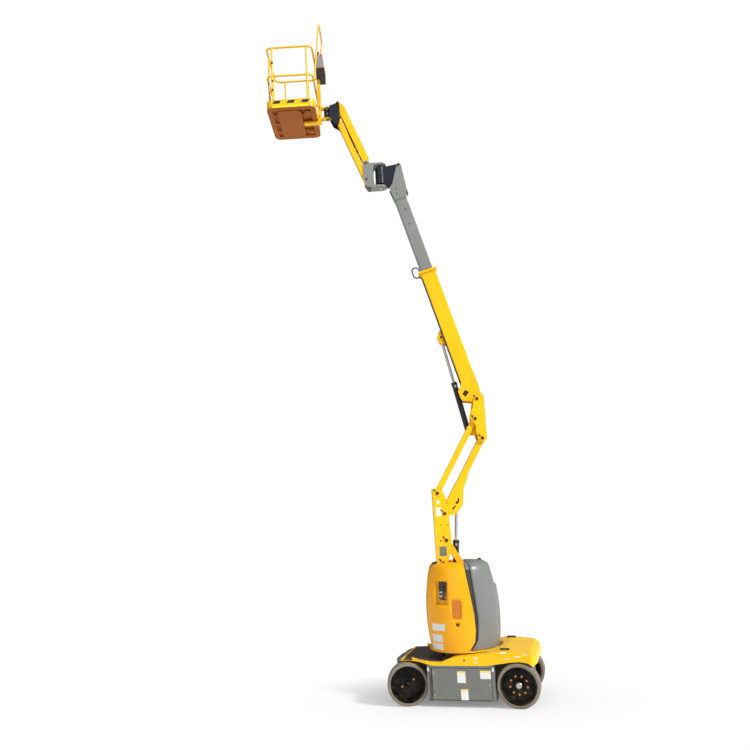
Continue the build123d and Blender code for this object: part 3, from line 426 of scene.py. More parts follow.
@dataclass(frozen=True)
class PressedFloor(Paint):
    """Tread and pan of the platform: paint with rows of pressed dimples, darkened in them as painted shade.
    """

    pitch: float = 0.034

    def lay(self, graph: Graph) -> None:
        """Lays the paint over the dimples, with painted shade in them.

        Args:
            graph: the material\'s graph.
        """
        colour, rough = self.coats(graph)
        across = graph.axis("X", SLEW_TURN).wave(self.pitch).rise(0.25, 0.55)
        dimple = across * graph.axis("Y", SLEW_TURN).wave(self.pitch * 0.62).rise(0.25, 0.55)
        pressed = dimple * abs(graph.facing_up()).rise(0.8, 0.95)
        # the dimples turn towards dark brown: painted shade in the pressed hollows; the bump gives their
        # relief
        graph.dress(Base_Color=graph.mix(pressed * 0.22, colour, srgb(96, 52, 12)),
                    Roughness=rough + 0.1, Coat_Weight=0.02, Specular_IOR_Level=0.25)
        graph.bump(pressed + graph.noise(200, 2) * 0.1, 0.5, 0.003)


@dataclass(frozen=True)
class Louvre(Paint):
    """Vent panel: a painted plate with rows of pressed slots, darkened in them as painted shade."""

    pitch: float = 0.022

    def lay(self, graph: Graph) -> None:
        """Lays the paint, with painted shade in the slots.

        Args:
            graph: the material\'s graph.
        """
        colour, rough = self.coats(graph)
        slot = graph.axis("Z").wave(self.pitch)
        # the slots turn towards deep brown: painted shade in the pressed slots
        shaded = graph.mix(slot.rise(0.62, 0.85) * 0.75, colour, srgb(90, 38, 6))
        graph.dress(Base_Color=shaded, Roughness=rough, Coat_Weight=0.2)
        graph.bump(slot, 0.9, 0.006)


@dataclass(frozen=True)
class Rubber(Finish):
    """Solid tyre rubber: matt, dusty and scuffed."""

    dust: Colour

    def lay(self, graph: Graph) -> None:
        """Lays the rubber and the dust on it.

        Args:
            graph: the material\'s graph.
        """
        cloud = graph.noise(5, 5).rise(0.3, 0.75)
        scuff = graph.noise(38, 5, (1, 1, 0.4)).rise(0.52, 0.8)
        tint = graph.mix(cloud * 0.55, self.colour, self.dust)
        tint = graph.mix(scuff * 0.4, tint, srgb(70, 66, 62))
        low = graph.axis("Z").rise(0.25, 0.0)
        graph.dress(Base_Color=graph.mix(low * cloud * 0.5, tint, srgb(96, 88, 76)),
                    Roughness=0.72 + scuff * 0.2, Specular_IOR_Level=0.35)
        graph.bump(graph.noise(180, 4) + graph.grains(70) * 0.5, 0.35, 0.0025)


@dataclass(frozen=True)
class Steel(Finish):
    """Bare or plated metal: grinding lines, faint stains."""

    rough: float
    grain: Point = (1, 1, 1)

    def lay(self, graph: Graph) -> None:
        """Lays the stains and the lines.

        Args:
            graph: the material\'s graph.
        """
        line = graph.noise(120, 3, self.grain)
        stain = graph.noise(11, 4).rise(0.45, 0.8)
        dull = tuple(c * 0.7 for c in self.colour)
        graph.dress(Base_Color=graph.mix(stain * 0.5, self.colour, dull), Metallic=1.0,
                    Roughness=line * 0.12 + stain * 0.12 + (self.rough - 0.05))
        graph.bump(line, 0.08, 0.0006)


@dataclass(frozen=True)
class Plastic(Finish):
    """Moulded plastic or rubberised part with a leathery texture."""

    rough: float = 0.45
    texture: float = 0.2
    scale: float = 500

    def lay(self, graph: Graph) -> None:
        """Lays the worn colour and the texture.

        Args:
            graph: the material\'s graph.
        """
        worn = graph.noise(24, 4).rise(0.5, 0.85)
        pale = tuple(min(1.0, c * 1.25 + 0.012) for c in self.colour)
        graph.dress(Base_Color=graph.mix(worn * 0.5, self.colour, pale), Roughness=worn * 0.12 + self.rough)
        graph.bump(graph.grains(self.scale) + graph.noise(60, 3) * 0.4, self.texture, 0.0008)


YELLOW, AMBER = srgb(250, 196, 12), srgb(236, 160, 6)
FINISHES = {finish.name: finish for finish in (
    Paint("boom_yellow", YELLOW, AMBER),
    DeckMoulding("deck_moulding", srgb(252, 200, 10), AMBER, grime=Grime.USED),
    Paint("cowl_enamel", srgb(254, 178, 8), srgb(242, 146, 2), rough=0.34, coat=0.2),
    Paint("plate_grey", srgb(136, 138, 136), srgb(112, 114, 113), rough=0.42, coat=0.15),
    Paint("chassis_grey", srgb(120, 122, 118), srgb(102, 104, 100), 0.5, 0.05, 0.12, Grime.USED),
    Paint("tail_grey", srgb(124, 126, 124), srgb(96, 98, 98), rough=0.4, coat=0.25, peel=0.16),
    Paint("casting_navy", srgb(34, 38, 50), srgb(20, 22, 30), rough=0.4, peel=0.25),
    Paint("barrel_black", srgb(32, 33, 37), srgb(18, 18, 20), rough=0.34, coat=0.4),
    Paint("pin_brown", srgb(70, 44, 22), srgb(48, 32, 20), 0.42, 0.1),
    Paint("rim_black", srgb(10, 9, 8), srgb(5, 5, 5), 0.3, 0.06, 0.06, gloss=0.1),
    Paint("box_grey", srgb(150, 152, 150), srgb(128, 130, 128), rough=0.45, coat=0.05),
    Paint("lip_yellow", srgb(255, 222, 40), YELLOW),
    # the pan's deep amber is its orange paint, darkened further as painted shade for the platform's shaded
    # underside
    PressedFloor("pan_amber_and_shade", srgb(168, 90, 6), srgb(134, 66, 4), gloss=0.1),
    Louvre("vent_amber", srgb(240, 138, 16), srgb(214, 108, 8)),
    Rubber("tyre_rubber", srgb(124, 115, 104), srgb(150, 140, 126)),
    Steel("rod_chrome", srgb(214, 218, 222), 0.14, (1, 1, 0.05)),
    Steel("ring_steel", srgb(150, 148, 142), 0.36, (1, 1, 0.2)),
    Steel("zinc", srgb(196, 192, 176), 0.32),
    Steel("brass_bolt", srgb(206, 150, 92), 0.34),
    Plastic("battery_case", srgb(38, 38, 40), 0.5),
    Plastic("box_black", srgb(30, 30, 32), 0.5),
    Plastic("hose_black", srgb(24, 24, 25), 0.5, 0.35, 260),
    Plastic("panel_dark", srgb(58, 48, 42), 0.4),
    Plastic("stop_red", srgb(214, 26, 22), 0.28, 0.05),
    Plastic("label_white", srgb(232, 232, 228), 0.4, 0.03),
    Plastic("label_yellow", srgb(246, 214, 40), 0.4, 0.03),
    Plastic("seal_black", srgb(46, 40, 38), 0.62, 0.2, 300),
)}
# the CAD nodes that wear each finish, by the start of their names, or by the end where it begins with _
WEARERS = {
    "tyre_rubber": ("_tyre",), "rim_black": ("_rim",), "barrel_black": ("_barrel",), "rod_chrome": ("_rod",),
    "casting_navy": ("_knuckle", "drive_housings", "jib_end"), "ring_steel": ("slewing_ring",),
    "chassis_grey": ("chassis", "deck_bearers", "battery_trays", "battery_door", "door_posts", "kingpin"),
    "battery_case": ("battery_packs",), "deck_moulding": ("deck_cover",), "tail_grey": ("counterweight",),
    "cowl_enamel": ("cowl",), "plate_grey": ("boom_inner", "jib_base"), "hose_black": ("boom_hose",),
    "pan_amber_and_shade": ("platform_floor",), "box_black": ("console_case",), "box_grey": ("control_console",),
    "boom_yellow": ("turntable", "lower", "upper", "riser", "boom_outer", "jib_upper", "jib_lower",
                    "platform_mount", "toe_boards", "guard_rails", "entry_bar"),
}


@cache
def material(finish: str) -> bpy.types.Material:
    """Gives a finish's material, built at its first use."""
    return FINISHES[finish].build()


def node_finish(node: str) -> str:
    """Names the finish of a CAD node."""
    return next(finish for finish, marks in WEARERS.items()
                if any(node.endswith(mark) if mark[0] == "_" else node.startswith(mark) for mark in marks))


# ------------------------------------------------------------------ pieces
def stand(name: str, mesh: bmesh.types.BMesh, finish: str, body: str,
          sharp: float) -> bpy.types.Object:
    """Turns a mesh into a dressed object that rides on a body.

    Args:
        name: the object's name.
        mesh: its shape, which is freed.
        finish: the name of its finish.
        body: the CAD body that it rides on.
        sharp: the angle in degrees from which an edge stays sharp.

    Returns:
        The object.
    """
    data = bpy.data.meshes.new(name)
    mesh.to_mesh(data)
    mesh.free()
    data.polygons.foreach_set("use_smooth", [True] * len(data.polygons))
    data.set_sharp_from_angle(angle=math.radians(sharp))
    data.materials.append(material(finish))
    made = bpy.data.objects.new(name, data)
    bpy.context.scene.collection.objects.link(made)
    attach(made, body)
    LOG.info("%s: %d faces on %s", name, len(data.polygons), body)
    return made


def smooth_skin(node: str, body: str) -> None:
    """Makes a smooth-shaded copy of a moulded CAD node, which stands for it.

    Args:
        node: the CAD node.
        body: the body that it rides on.
    """
    mesh = bmesh.new()
    mesh.from_mesh(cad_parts[node].data)
    bmesh.ops.remove_doubles(mesh, verts=mesh.verts, dist=0.00002)
    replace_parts(stand(f"{node}_skin", mesh, node_finish(node), body, 30), node)


class Piece:
    """One added object: shapes of one finish that ride on one body."""

    waiting: list["Piece"] = []

    def __init__(self, name: str, body: str, finish: str, slot: str) -> None:
        """Starts an empty piece, which waits until finish_all.

        Args:
            name: the piece's name.
            body: the CAD body that it rides on.
            finish: the name of its finish.
            slot: the record's material slot that it belongs to; not used.
        """
        self.name, self.body, self.finish, self.slot = name, body, finish, slot
        self.mesh = bmesh.new()
        Piece.waiting.append(self)

    @classmethod
    def finish_all(cls) -> None:
        """Makes the objects of the pieces that wait."""
        for piece in cls.waiting:
            stand(piece.name, piece.mesh, piece.finish, piece.body, 32)
        cls.waiting.clear()

    def _bevel(self, verts: Sequence, edges: list, width: float, segments: int) -> list:
        """Bevels edges of a new shape.

        Args:
            verts: the shape's vertices.
            edges: the edges.
            width: the bevels' width.
            segments: steps in each bevel.

        Returns:
            The shape's vertices after the bevel.
        """
        result = bmesh.ops.bevel(self.mesh, geom=edges, offset=width, segments=segments, profile=0.5,
                                 affect="EDGES", material=-1)
        return list({v for v in verts if v.is_valid} | set(result["verts"]))

    def _settle(self, verts: Sequence, at: Matrix, soften: float, segments: int) -> None:
        """Softens a new shape's edges and puts it in its place.

        Args:
            verts: the shape's vertices.
            at: its seat.
            soften: the width of its edge bevels.
            segments: steps in each bevel.
        """
        if soften:
            edges = list({e for v in verts for e in v.link_edges if e.calc_face_angle(0) > 0.6})
            verts = self._bevel(verts, edges, soften, segments)
        bmesh.ops.transform(self.mesh, matrix=at, verts=verts)

    def disc(self, at: Matrix, radius: float, height: float, sides: int = 24, soften: float = 0.0,
             top: float | None = None) -> None:
        """Adds a round or many-sided boss that stands on its seat.

        Args:
            at: the seat.
            radius: the radius at its foot.
            height: how far it stands out.
            sides: the number of sides, 6 for a nut.
            soften: the width of its edge bevels.
            top: the radius at its top, if it tapers.
        """
        made = bmesh.ops.create_cone(self.mesh, cap_ends=True, segments=sides, radius1=radius,
                                     radius2=radius if top is None else top, depth=height,
                                     matrix=Matrix.Translation((0, 0, height / 2)))
        self._settle(made["verts"], at, soften, 2)

    def pile(self, at: Matrix, *bosses: Sequence[float]) -> None:
        """Stands bosses on one another.

        Args:
            at: the lowest one's seat.
            bosses: each as disc takes it.
        """
        for boss in bosses:
            self.disc(at, *boss)
            at = shift(at, z=boss[1])

    def flanks(self, y: float, spots: Spots, *boss: float) -> None:
        """Adds a boss at the same spots on both sides.

        Args:
            y: the distance from the boom's plane.
            spots: X and Z of each.
            boss: its sizes, as disc takes them.
        """
        for side in BOTH:
            for x, z in spots:
                self.disc(flank(x, y, z, side), *boss)

    def plate(self, at: Matrix, width: float, height: float, thick: float, corner: float = 0.0,
              soften: float = 0.0) -> None:
        """Adds a flat plate that lies on its seat.

        Args:
            at: the seat.
            width: its size along local X.
            height: its size along local Y.
            thick: how far it stands out.
            corner: the rounding of its four corners.
            soften: the width of its edge bevels.
        """
        matrix = Matrix.Translation((0, 0, thick / 2)) @ Matrix.Diagonal((width, height, thick, 1))
        verts = bmesh.ops.create_cube(self.mesh, size=1, matrix=matrix)["verts"]
        if corner:
            uprights = [e for e in {e for v in verts for e in v.link_edges}
                        if abs((e.verts[0].co - e.verts[1].co).normalized().z) > 0.9]
            verts = self._bevel(verts, uprights, corner, 4)
        self._settle(verts, at, soften, 1)

    def dome(self, at: Matrix, radius: float, height: float) -> None:
        """Adds a domed cap on its seat.

        Args:
            at: the seat.
            radius: its radius.
            height: its height.
        """
        made = bmesh.ops.create_uvsphere(self.mesh, u_segments=24, v_segments=12, radius=1)
        bmesh.ops.delete(self.mesh, geom=[v for v in made["verts"] if v.co.z < -0.05], context="VERTS")
        verts = [v for v in made["verts"] if v.is_valid]
        rim = [e for e in {e for v in verts for e in v.link_edges} if e.is_boundary]
        bmesh.ops.edgeloop_fill(self.mesh, edges=rim)
        bmesh.ops.transform(self.mesh, matrix=at @ Matrix.Diagonal((radius, radius, height, 1)), verts=verts)

    def ring(self, at: Matrix, profile: Spots, steps: int = 48, start: float = 0.0,
             turn: float = 360.0) -> None:
        """Spins a closed profile about the seat's axis, and closes the ends of a part turn.

        Args:
            at: the seat.
            profile: corners of the section as radius and height.
            steps: steps in the turn.
            start: where the turn starts, in degrees.
            turn: how far it goes, in degrees.
        """
        bm, old = self.mesh, set(self.mesh.verts)
        verts = [bm.verts.new((*polar(start, radius), height)) for radius, height in profile]
        edges = [bm.edges.new(pair) for pair in zip(verts, verts[1:] + verts[:1])]
        bmesh.ops.spin(bm, geom=verts + edges, cent=(0, 0, 0), axis=UP, dvec=(0, 0, 0),
                       angle=math.radians(turn), steps=steps, use_merge=turn == 360.0)
        added = [v for v in bm.verts if v not in old]
        ends = {e for v in added for e in v.link_edges if e.is_boundary}
        bmesh.ops.holes_fill(bm, edges=list(ends), sides=0)
        bmesh.ops.recalc_face_normals(bm, faces=list({f for v in added for f in v.link_faces}))
        bmesh.ops.transform(bm, matrix=at, verts=added)


def barrel_radius(height: float) -> float:
    """Gives the radius of the turret's barrel form at a height, on the arc through its three set rings.

    Args:
        height: the height above the ground.

    Returns:
        The radius.
    """
    (r0, z0), (r1, z1), (r2, z2) = (0.530, 0.722), (0.573, 1.2), (0.5, 1.885)
    a = 2 * (r1 - r0), 2 * (z1 - z0), r1 * r1 + z1 * z1 - r0 * r0 - z0 * z0
    b = 2 * (r2 - r0), 2 * (z2 - z0), r2 * r2 + z2 * z2 - r0 * r0 - z0 * z0
    det = a[0] * b[1] - a[1] * b[0]
    centre = (a[2] * b[1] - a[1] * b[2]) / det, (a[0] * b[2] - a[2] * b[0]) / det
    reach = math.hypot(r0 - centre[0], z0 - centre[1])
    return centre[0] + math.sqrt(reach ** 2 - (height - centre[1]) ** 2)


# ------------------------------------------------------------------ sub-assemblies
class Hand(Enum):
    """Side of the machine, by the sign of Y."""

    LEFT = 1
    RIGHT = -1

    @property
    def word(self) -> str:
        """The side's name in lower case."""
        return self.name.lower()


@dataclass
class WheelTrim:
    """Nuts, hub caps and rim lips of the four wheels."""

    axle_x: float = 0.825
    wheel_y: float = 0.505
    radius: float = 0.3
    kingpin_y: float = 0.33
    driven_face: float = 0.025
    steered_face: float = -0.023
    driven_nuts: tuple[int, float] = (9, 0.124)
    steered_nuts: tuple[int, float] = (2, 0.1)
    first_nut: float = 0.5
    hub_nut_out: float = 0.0388
    cap_out: float = 0.0255
    cap: Pair = (0.05, 0.032)

    def face(self, steered: bool, hand: Hand, out: float) -> Matrix:
        """Gives the seat of a wheel's disc.

        Args:
            steered: whether the wheel is at the steered end.
            hand: the wheel's side.
            out: distance of the seat from the wheel's middle, outwards.

        Returns:
            The seat, turned with a steered wheel.
        """
        x = self.axle_x if steered else -self.axle_x
        spot = hull(x, self.wheel_y + out, self.radius, hand.value)
        if not steered:
            return spot
        pin = Matrix.Translation((x, hand.value * self.kingpin_y, 0))
        return turned(pin, STEER) @ pin.inverted() @ spot

    def build(self) -> None:
        """Builds the trim of every wheel."""
        for steered in (True, False):
            for hand in Hand:
                self.wheel(steered, hand)

    def wheel(self, steered: bool, hand: Hand) -> None:
        """Builds one wheel's trim.

        Args:
            steered: whether the wheel is at the steered end.
            hand: the wheel's side.
        """
        wheel = f"{'front' if steered else 'rear'}_{hand.word}"
        body = f"{wheel}_wheel"
        spot = self.face(steered, hand, self.steered_face if steered else self.driven_face)
        nuts = Piece(f"{wheel}_nuts", body, "brass_bolt", "bearing_steel")
        count, circle = self.steered_nuts if steered else self.driven_nuts
        for index in range(count):
            at = shift(turned(spot, math.tau * index / count + self.first_nut), circle)
            for boss in WHEEL_NUT:
                nuts.disc(at, *boss)
        cap = Piece(f"{wheel}_hub_cap", body, "box_black" if steered else "zinc", "bearing_steel")
        lips = Piece(f"{wheel}_rim_lips", body, "rim_black", "rim_black")
        for flip in (0.0, math.pi):
            lips.ring(turned(self.face(steered, hand, 0.0), flip, "X"), RIM_LIP, 80)
        if steered:
            cap.ring(spot, HUB_RING)
            cap.disc(shift(spot, z=self.hub_nut_out), *HUB_NUT)
        else:
            cap.dome(shift(spot, z=self.cap_out), *self.cap)
            lips.ring(spot, DISC_STEP, 64)
            lips.ring(spot, HUB_STEP)


@dataclass
class ChassisTrim:
    """Blank plates, seals, screws, bolts and tie eyes of the chassis, and the marks, plug and cleats on its
    deck.
    """

    door_y: float = 0.6
    jamb_y: float = 0.586
    rail_y: float = 0.598
    deck_y: float = 0.6
    eye_y: float = 0.205
    eye: Pair = (0.965, 0.45)
    eye_bolts: Spots = ((0.84, 0.34), (0.93, 0.34))
    jambs: Spots = ((-0.481, 0.52), (0.45, 0.52))
    rail_bolts: tuple = (-0.47, -0.3, -0.1, 0.1, 0.3, 0.44)
    rail_z: float = 0.5525
    ring_bolts: int = 18
    ring_radii: Pair = (0.288, 0.285)
    ring_z: float = 0.69
    drain: Pair = (-0.085, 0.642)
    cleat: Point = (-0.66, 0.5, 0.765)
    top_band: Pair = (0.012, 0.02)
    sticker: Pair = (0.0008, 0.004)
    screws: Spots = ((-0.425, 0.31), (0.375, 0.482), (0.375, 0.138), (0.375, 0.452), (0.375, 0.168))
    # x, z, width and height
    plates: Table = ((-0.03, 0.415, 0.118, 0.155), (-0.062, 0.18, 0.104, 0.145), (-0.375, 0.448, 0.15, 0.11))
    seals: Table = ((-0.025, 0.1045, 0.85, 0.011), (0.3955, 0.32, 0.011, 0.41))
    stickers: Table = ((-0.25, 0.672, 0.05, 0.022), (-0.25, 0.612, 0.036, 0.018),
                       (-0.645, 0.742, 0.075, 0.02), (-0.835, 0.69, 0.09, 0.014),
                       (-0.94, 0.716, 0.04, 0.014), (-0.7, 0.664, 0.06, 0.01))

    def build(self) -> None:
        """Builds the chassis's trim."""
        for hand in Hand:
            self.door(hand)
        self.frame_plates()
        self.deck()

    def door(self, hand: Hand) -> None:
        """Builds the blank plates, seals and screws of one door.

        Args:
            hand: the door's side.
        """
        body = f"{hand.word}_door"
        white = Piece(f"{body}_plates", body, "label_white", "battery_case")
        yellow = Piece(f"{body}_plate_tops", body, "label_yellow", "battery_case")
        for x, z, width, height in self.plates:
            at = hull(x, self.door_y, z, hand.value)
            white.plate(at, width, height, *self.sticker)
            down, band = self.top_band
            yellow.plate(shift(at, y=height / 2 - down, z=FOIL), width - 0.004, band, FOIL)
        seal = Piece(f"{body}_seals", body, "seal_black", "hose_black")
        for x, z, width, height in self.seals:
            seal.plate(hull(x, self.door_y, z, hand.value), width, height, FOIL)
        fittings = Piece(f"{body}_fittings", body, "zinc", "bearing_steel")
        for x, z in self.screws:
            for boss in DOOR_SCREW:
                fittings.disc(hull(x, self.door_y, z, hand.value), *boss)

    def frame_plates(self) -> None:
        """Builds the small plates, bolts and eyes on the frame and round the slewing ring."""
        white = Piece("frame_plates", "chassis", "label_white", "battery_case")
        bolts = Piece("frame_bolts", "chassis", "zinc", "bearing_steel")
        for side in BOTH:
            for x, z in self.jambs:
                white.plate(hull(x, self.jamb_y, z, side), *JAMB_PLATE)
            for x in self.rail_bolts:
                bolts.disc(hull(x, self.rail_y, self.rail_z, side), *FRAME_BOLT)
            bolts.ring(hull(self.eye[0], self.eye_y, self.eye[1], side), TIE_EYE, 32)
            for x, z in self.eye_bolts:
                bolts.disc(hull(x, self.eye_y, z, side), *EYE_BOLT)
        for index in range(self.ring_bolts):
            turn = turned(Matrix.Identity(4), math.tau * index / self.ring_bolts)
            bolts.disc(shift(turn, self.ring_radii[index % 2], z=self.ring_z), *RING_BOLT)

    def deck(self) -> None:
        """Builds the deck's blank stickers, drain plug and cleats."""
        stickers = Piece("deck_stickers", "chassis", "label_white", "battery_case")
        for x, z, width, height in self.stickers:
            stickers.plate(hull(x, self.deck_y, z), width, height, *self.sticker)
        plug = Piece("deck_plug", "chassis", "seal_black", "hose_black")
        plug.disc(hull(self.drain[0], self.deck_y, self.drain[1]), *DRAIN_PLUG)
        for side in BOTH:
            x, y, z = self.cleat
            plug.plate(seat((x, side * y, z), UP, ALONG_Y, False), *CLEAT)


@dataclass
class TurretTrim:
    """Controls, vent, latch, blank labels, dark step strips and top covers of the turret."""

    # azimuth in degrees, height and radius
    control: Point = (53.0, 1.56, 0.503)
    vent: Point = (77.5, 1.33, 0.556)
    latch: Point = (77.5, 1.118, 0.556)
    # azimuths in degrees and heights of the label bands
    labels: Table = ((33.5, 58.0, 1.03, 1.128), (31.5, 52.0, 0.872, 0.975), (29.0, 51.5, 0.76, 0.848))
    cowl_edge: Spots = ((0.061, 0.724), (-0.043, 0.767), (-0.117, 0.875), (-0.136, 1.033), (-0.128, 1.257),
                        (-0.098, 1.472), (-0.067, 1.694), (-0.042, 1.88))
    tail_edge: Spots = ((-0.050, 0.752), (-0.113, 0.811), (-0.166, 0.903), (-0.175, 1.033), (-0.182, 1.189),
                        (-0.158, 1.46), (-0.139, 1.68), (-0.122, 1.88))
    label_gap: float = 0.0002
    label_thick: float = 0.0012
    strip_depth: float = 0.0145
    strip_lap: float = 0.004
    # places on the ground panel
    panel_at: Pair = (0.022, 0.028)
    panel: Pair = (0.156, 0.262)
    panel_face: float = 0.007
    knob_y: float = 0.035
    key_pad: Pair = (0.03, 0.095)
    screens: Spots = ((-0.045, -0.02), (-0.045, -0.078))
    stop: Pair = (0.042, -0.088)
    lean: float = 0.35
    toggles: Spots = ((-0.06, -0.048), (-0.03, -0.048), (0.0, -0.048), (0.035, -0.03),
                      (-0.06, -0.105), (-0.03, -0.105))
    corners: Spots = ((-0.07, 0.122), (0.07, 0.122), (-0.07, -0.122), (0.07, -0.122))

    def spot(self, azimuth: float, height: float, radius: float) -> Matrix:
        """Gives the seat at an azimuth, height and radius on the turret."""
        x, y = polar(azimuth, radius)
        return seat((x, y, height), (x, y, 0))

    def build(self) -> None:
        """Builds all the turret's trim."""
        self.controls()
        self.vent_and_latch()
        self.label_bands()
        for hand in Hand:
            self.seal(hand)
        self.top_covers()
        for node in ("cowl_left", "cowl_right"):
            smooth_skin(node, "turret")
        smooth_skin("counterweight", "turret")

    def controls(self) -> None:
        """Builds the ground control panel in its pocket."""
        base = shift(self.spot(*self.control), *self.panel_at)
        face = shift(base, z=self.panel_face)
        panel = Piece("ground_panel", "turret", "panel_dark", "console_black")
        panel.plate(base, *self.panel, self.panel_face, 0.008, 0.002)
        panel.pile(shift(face, y=self.knob_y), *KNOB)
        panel.plate(shift(face, *self.key_pad), *KEY_PAD)
        screen = Piece("ground_screen", "turret", "label_white", "battery_case")
        for x, y in self.screens:
            screen.plate(shift(face, x, y), *SCREEN)
        toggles = Piece("ground_toggles", "turret", "zinc", "bearing_steel")
        for x, y in self.toggles:
            at = shift(face, x, y)
            toggles.disc(at, *TOGGLE_NUT)
            toggles.disc(turned(at, self.lean, "X"), *TOGGLE)
        for x, y in self.corners:
            toggles.disc(shift(face, x, y), *SCREW)
        at = shift(face, *self.stop)
        Piece("ground_stop", "turret", "stop_red", "console_black").pile(at, *STOP)
        Piece("ground_stop_collar", "turret", "label_yellow", "console_black").ring(at, STOP_COLLAR, 32)

    def vent_and_latch(self) -> None:
        """Builds the louvred panel and the turn latch under it."""
        vent = Piece("side_vent", "turret", "vent_amber", "cowl_yellow")
        vent.plate(self.spot(*self.vent), *VENT)
        at = self.spot(*self.latch)
        Piece("latch_bowl", "turret", "cowl_enamel", "cowl_yellow").ring(at, LATCH_BOWL, 56)
        latch = Piece("cowl_latch", "turret", "seal_black", "console_black")
        latch.disc(at, *LATCH)
        latch.plate(turned(shift(at, z=LATCH[1]), self.lean), *LATCH_SLOT)

    def top_covers(self) -> None:
        """Builds the dark apron between the cowls' crowns and the tail's filler cap."""
        cover = Piece("top_apron", "turret", "seal_black", "hose_black")
        cover.plate(seat((0.35, 0, 1.962), (0.16, 0, 1), ALONG_Y), *APRON)
        cap = Piece("tail_cap", "turret", "box_black", "console_black")
        cap.pile(level(-0.3, 0.215, 2.0, up=ALONG_Y), *FILLER_CAP)

    def label_bands(self) -> None:
        """Builds the blank labels, bent round the cowl."""
        labels = Piece("cowl_labels", "turret", "label_white", "battery_case")
        for start, end, low, high in self.labels:
            foot, head = barrel_radius(low) + self.label_gap, barrel_radius(high) + self.label_gap
            thick = self.label_thick
            band = ((foot, low), (foot + thick, low), (head + thick, high), (head, high))
            labels.ring(SLEW, band, 10, start, end - start)

    def seal(self, hand: Hand) -> None:
        """Builds the dark strip, sunk in the step between a cowl and the tail.

        Args:
            hand: the cowl's side.
        """
        bm = Piece(f"{hand.word}_cowl_seal", "turret", "seal_black", "hose_black").mesh
        loops = []
        for edge, inset in ((self.cowl_edge, self.strip_lap), (self.tail_edge, -self.strip_lap)):
            verts = []
            for x, z in edge:
                radius, place = barrel_radius(z) - self.strip_depth, x - inset
                verts.append(bm.verts.new((place, hand.value * math.sqrt(radius ** 2 - place ** 2), z)))
            loops += [bm.edges.new(pair) for pair in zip(verts, verts[1:])]
        bmesh.ops.bridge_loops(bm, edges=loops)
        bmesh.ops.recalc_face_normals(bm, faces=bm.faces)
        if sum(f.normal.y * hand.value for f in bm.faces) < 0:
            bmesh.ops.reverse_faces(bm, faces=bm.faces)
        bmesh.ops.solidify(bm, geom=list(bm.faces), thickness=-0.004)
        bmesh.ops.recalc_face_normals(bm, faces=bm.faces)
        bmesh.ops.transform(bm, matrix=SLEW, verts=bm.verts)


@dataclass
class PinSet:
    """The ends of one body's pins: washer faces, hex ends and, on some, keeper plates on both sides."""

    name: str
    body: str
    y: float
    pins: Spots
    radius: float = 0.02
    keeper: float = 0.0
    keeper_turn: float = 42.0

    def build(self) -> None:
        """Builds the pin ends on both sides."""
        ends = Piece(f"{self.name}_pin_ends", self.body, "pin_brown", "dark_paint")
        ends.flanks(self.y, self.pins, self.radius, 0.004, 28, 0.001)
        ends.flanks(self.y, self.pins, self.radius * 0.5, 0.007, 6, 0.001)
        if self.keeper:
            bolts = Piece(f"{self.name}_keepers", self.body, "zinc", "bearing_steel")
            for side in BOTH:
                for x, z in self.pins:
                    lean = turned(flank(x, self.y - 0.008, z, side), math.radians(self.keeper_turn))
                    bar = shift(lean, y=self.keeper)
                    ends.plate(bar, *KEEPER)
                    for along in (-0.019, 0.019):
                        bolts.disc(shift(bar, y=along, z=0.006), *KEEPER_BOLT)


@dataclass
class RiserTrim:
    """Pins, keeper plates, blank plates and cylinder fittings of the riser and its head."""

    lower: Pair = (60.5, -1.3)
    upper: Pair = (180 - 59.4, 1.315)
    post: Spots = ((0.244, 1.969), (0.171, 2.303), (0.172, 2.706), (0.264, 3.018))
    pivot: Pair = (-0.458, 4.465)
    cylinder: Spots = ((0.063, 1.65), (-0.031, 2.862))
    cheek_y: float = 0.157
    fan_y: float = 0.122
    rating_plate: Pair = (0.234, 2.142)
    plates: Table = ((0.262, 2.885, 0.042, 0.05), (0.262, 2.735, 0.08, 0.13))
    rivets: Spots = ((0.187, 2.097), (0.281, 2.097), (0.187, 2.187), (0.281, 2.187))
    bosses: Spots = ((0.246, 2.54), (0.135, 2.54), (0.135, 2.86))
    post_nut: Spots = ((0.258, 2.303),)
    # x, z and turn in degrees
    slots: Table = ((0.02, 2.79, -40.0), (-0.055, 2.895, -8.0))

    def links(self, pins: Spots, angle: float, length: float) -> Spots:
        """Gives the far pins of links of one angle and length."""
        dx, dz = polar(angle, length)
        return tuple((x + dx, z + dz) for x, z in pins)

    def build(self) -> None:
        """Builds the riser's trim."""
        PinSet("mast", "turret", 0.152, self.links(self.post[:2], *self.lower), 0.024).build()
        PinSet("post", "riser_post", 0.165, self.post, 0.026, 0.056).build()
        head = (*self.links(self.post[2:], *self.upper), self.pivot)
        PinSet("head", "riser_head", 0.170, head, 0.026, 0.056).build()
        PinSet("lift_eye", "upper_arm", self.fan_y, self.cylinder[1:]).build()
        cylinder_fittings("riser", "riser_barrel", *self.cylinder, 0.046, 1.0, 0.644)
        white = Piece("post_plates", "riser_post", "label_white", "battery_case")
        metal = Piece("post_rating_plates", "riser_post", "ring_steel", "bearing_steel")
        slots = Piece("fan_slots", "upper_arm", "seal_black", "dark_paint")
        for side in BOTH:
            for x, z, width, height in self.plates:
                white.plate(flank(x, self.cheek_y, z, side), width, height, 0.001, 0.004)
            x, z = self.rating_plate
            metal.plate(flank(x, self.cheek_y, z, side), *RATING_PLATE)
            for x, z, turn in self.slots:
                at = turned(flank(x, self.fan_y, z, side), math.radians(turn * side))
                slots.plate(at, *FAN_SLOT)
        studs = Piece("post_studs", "riser_post", "barrel_black", "dark_paint")
        studs.flanks(self.cheek_y + RATING_PLATE[2], self.rivets, *RIVET)
        studs.flanks(self.cheek_y, self.post_nut, *POST_NUT)
        studs.flanks(self.cheek_y, self.bosses, *POST_BOSS)


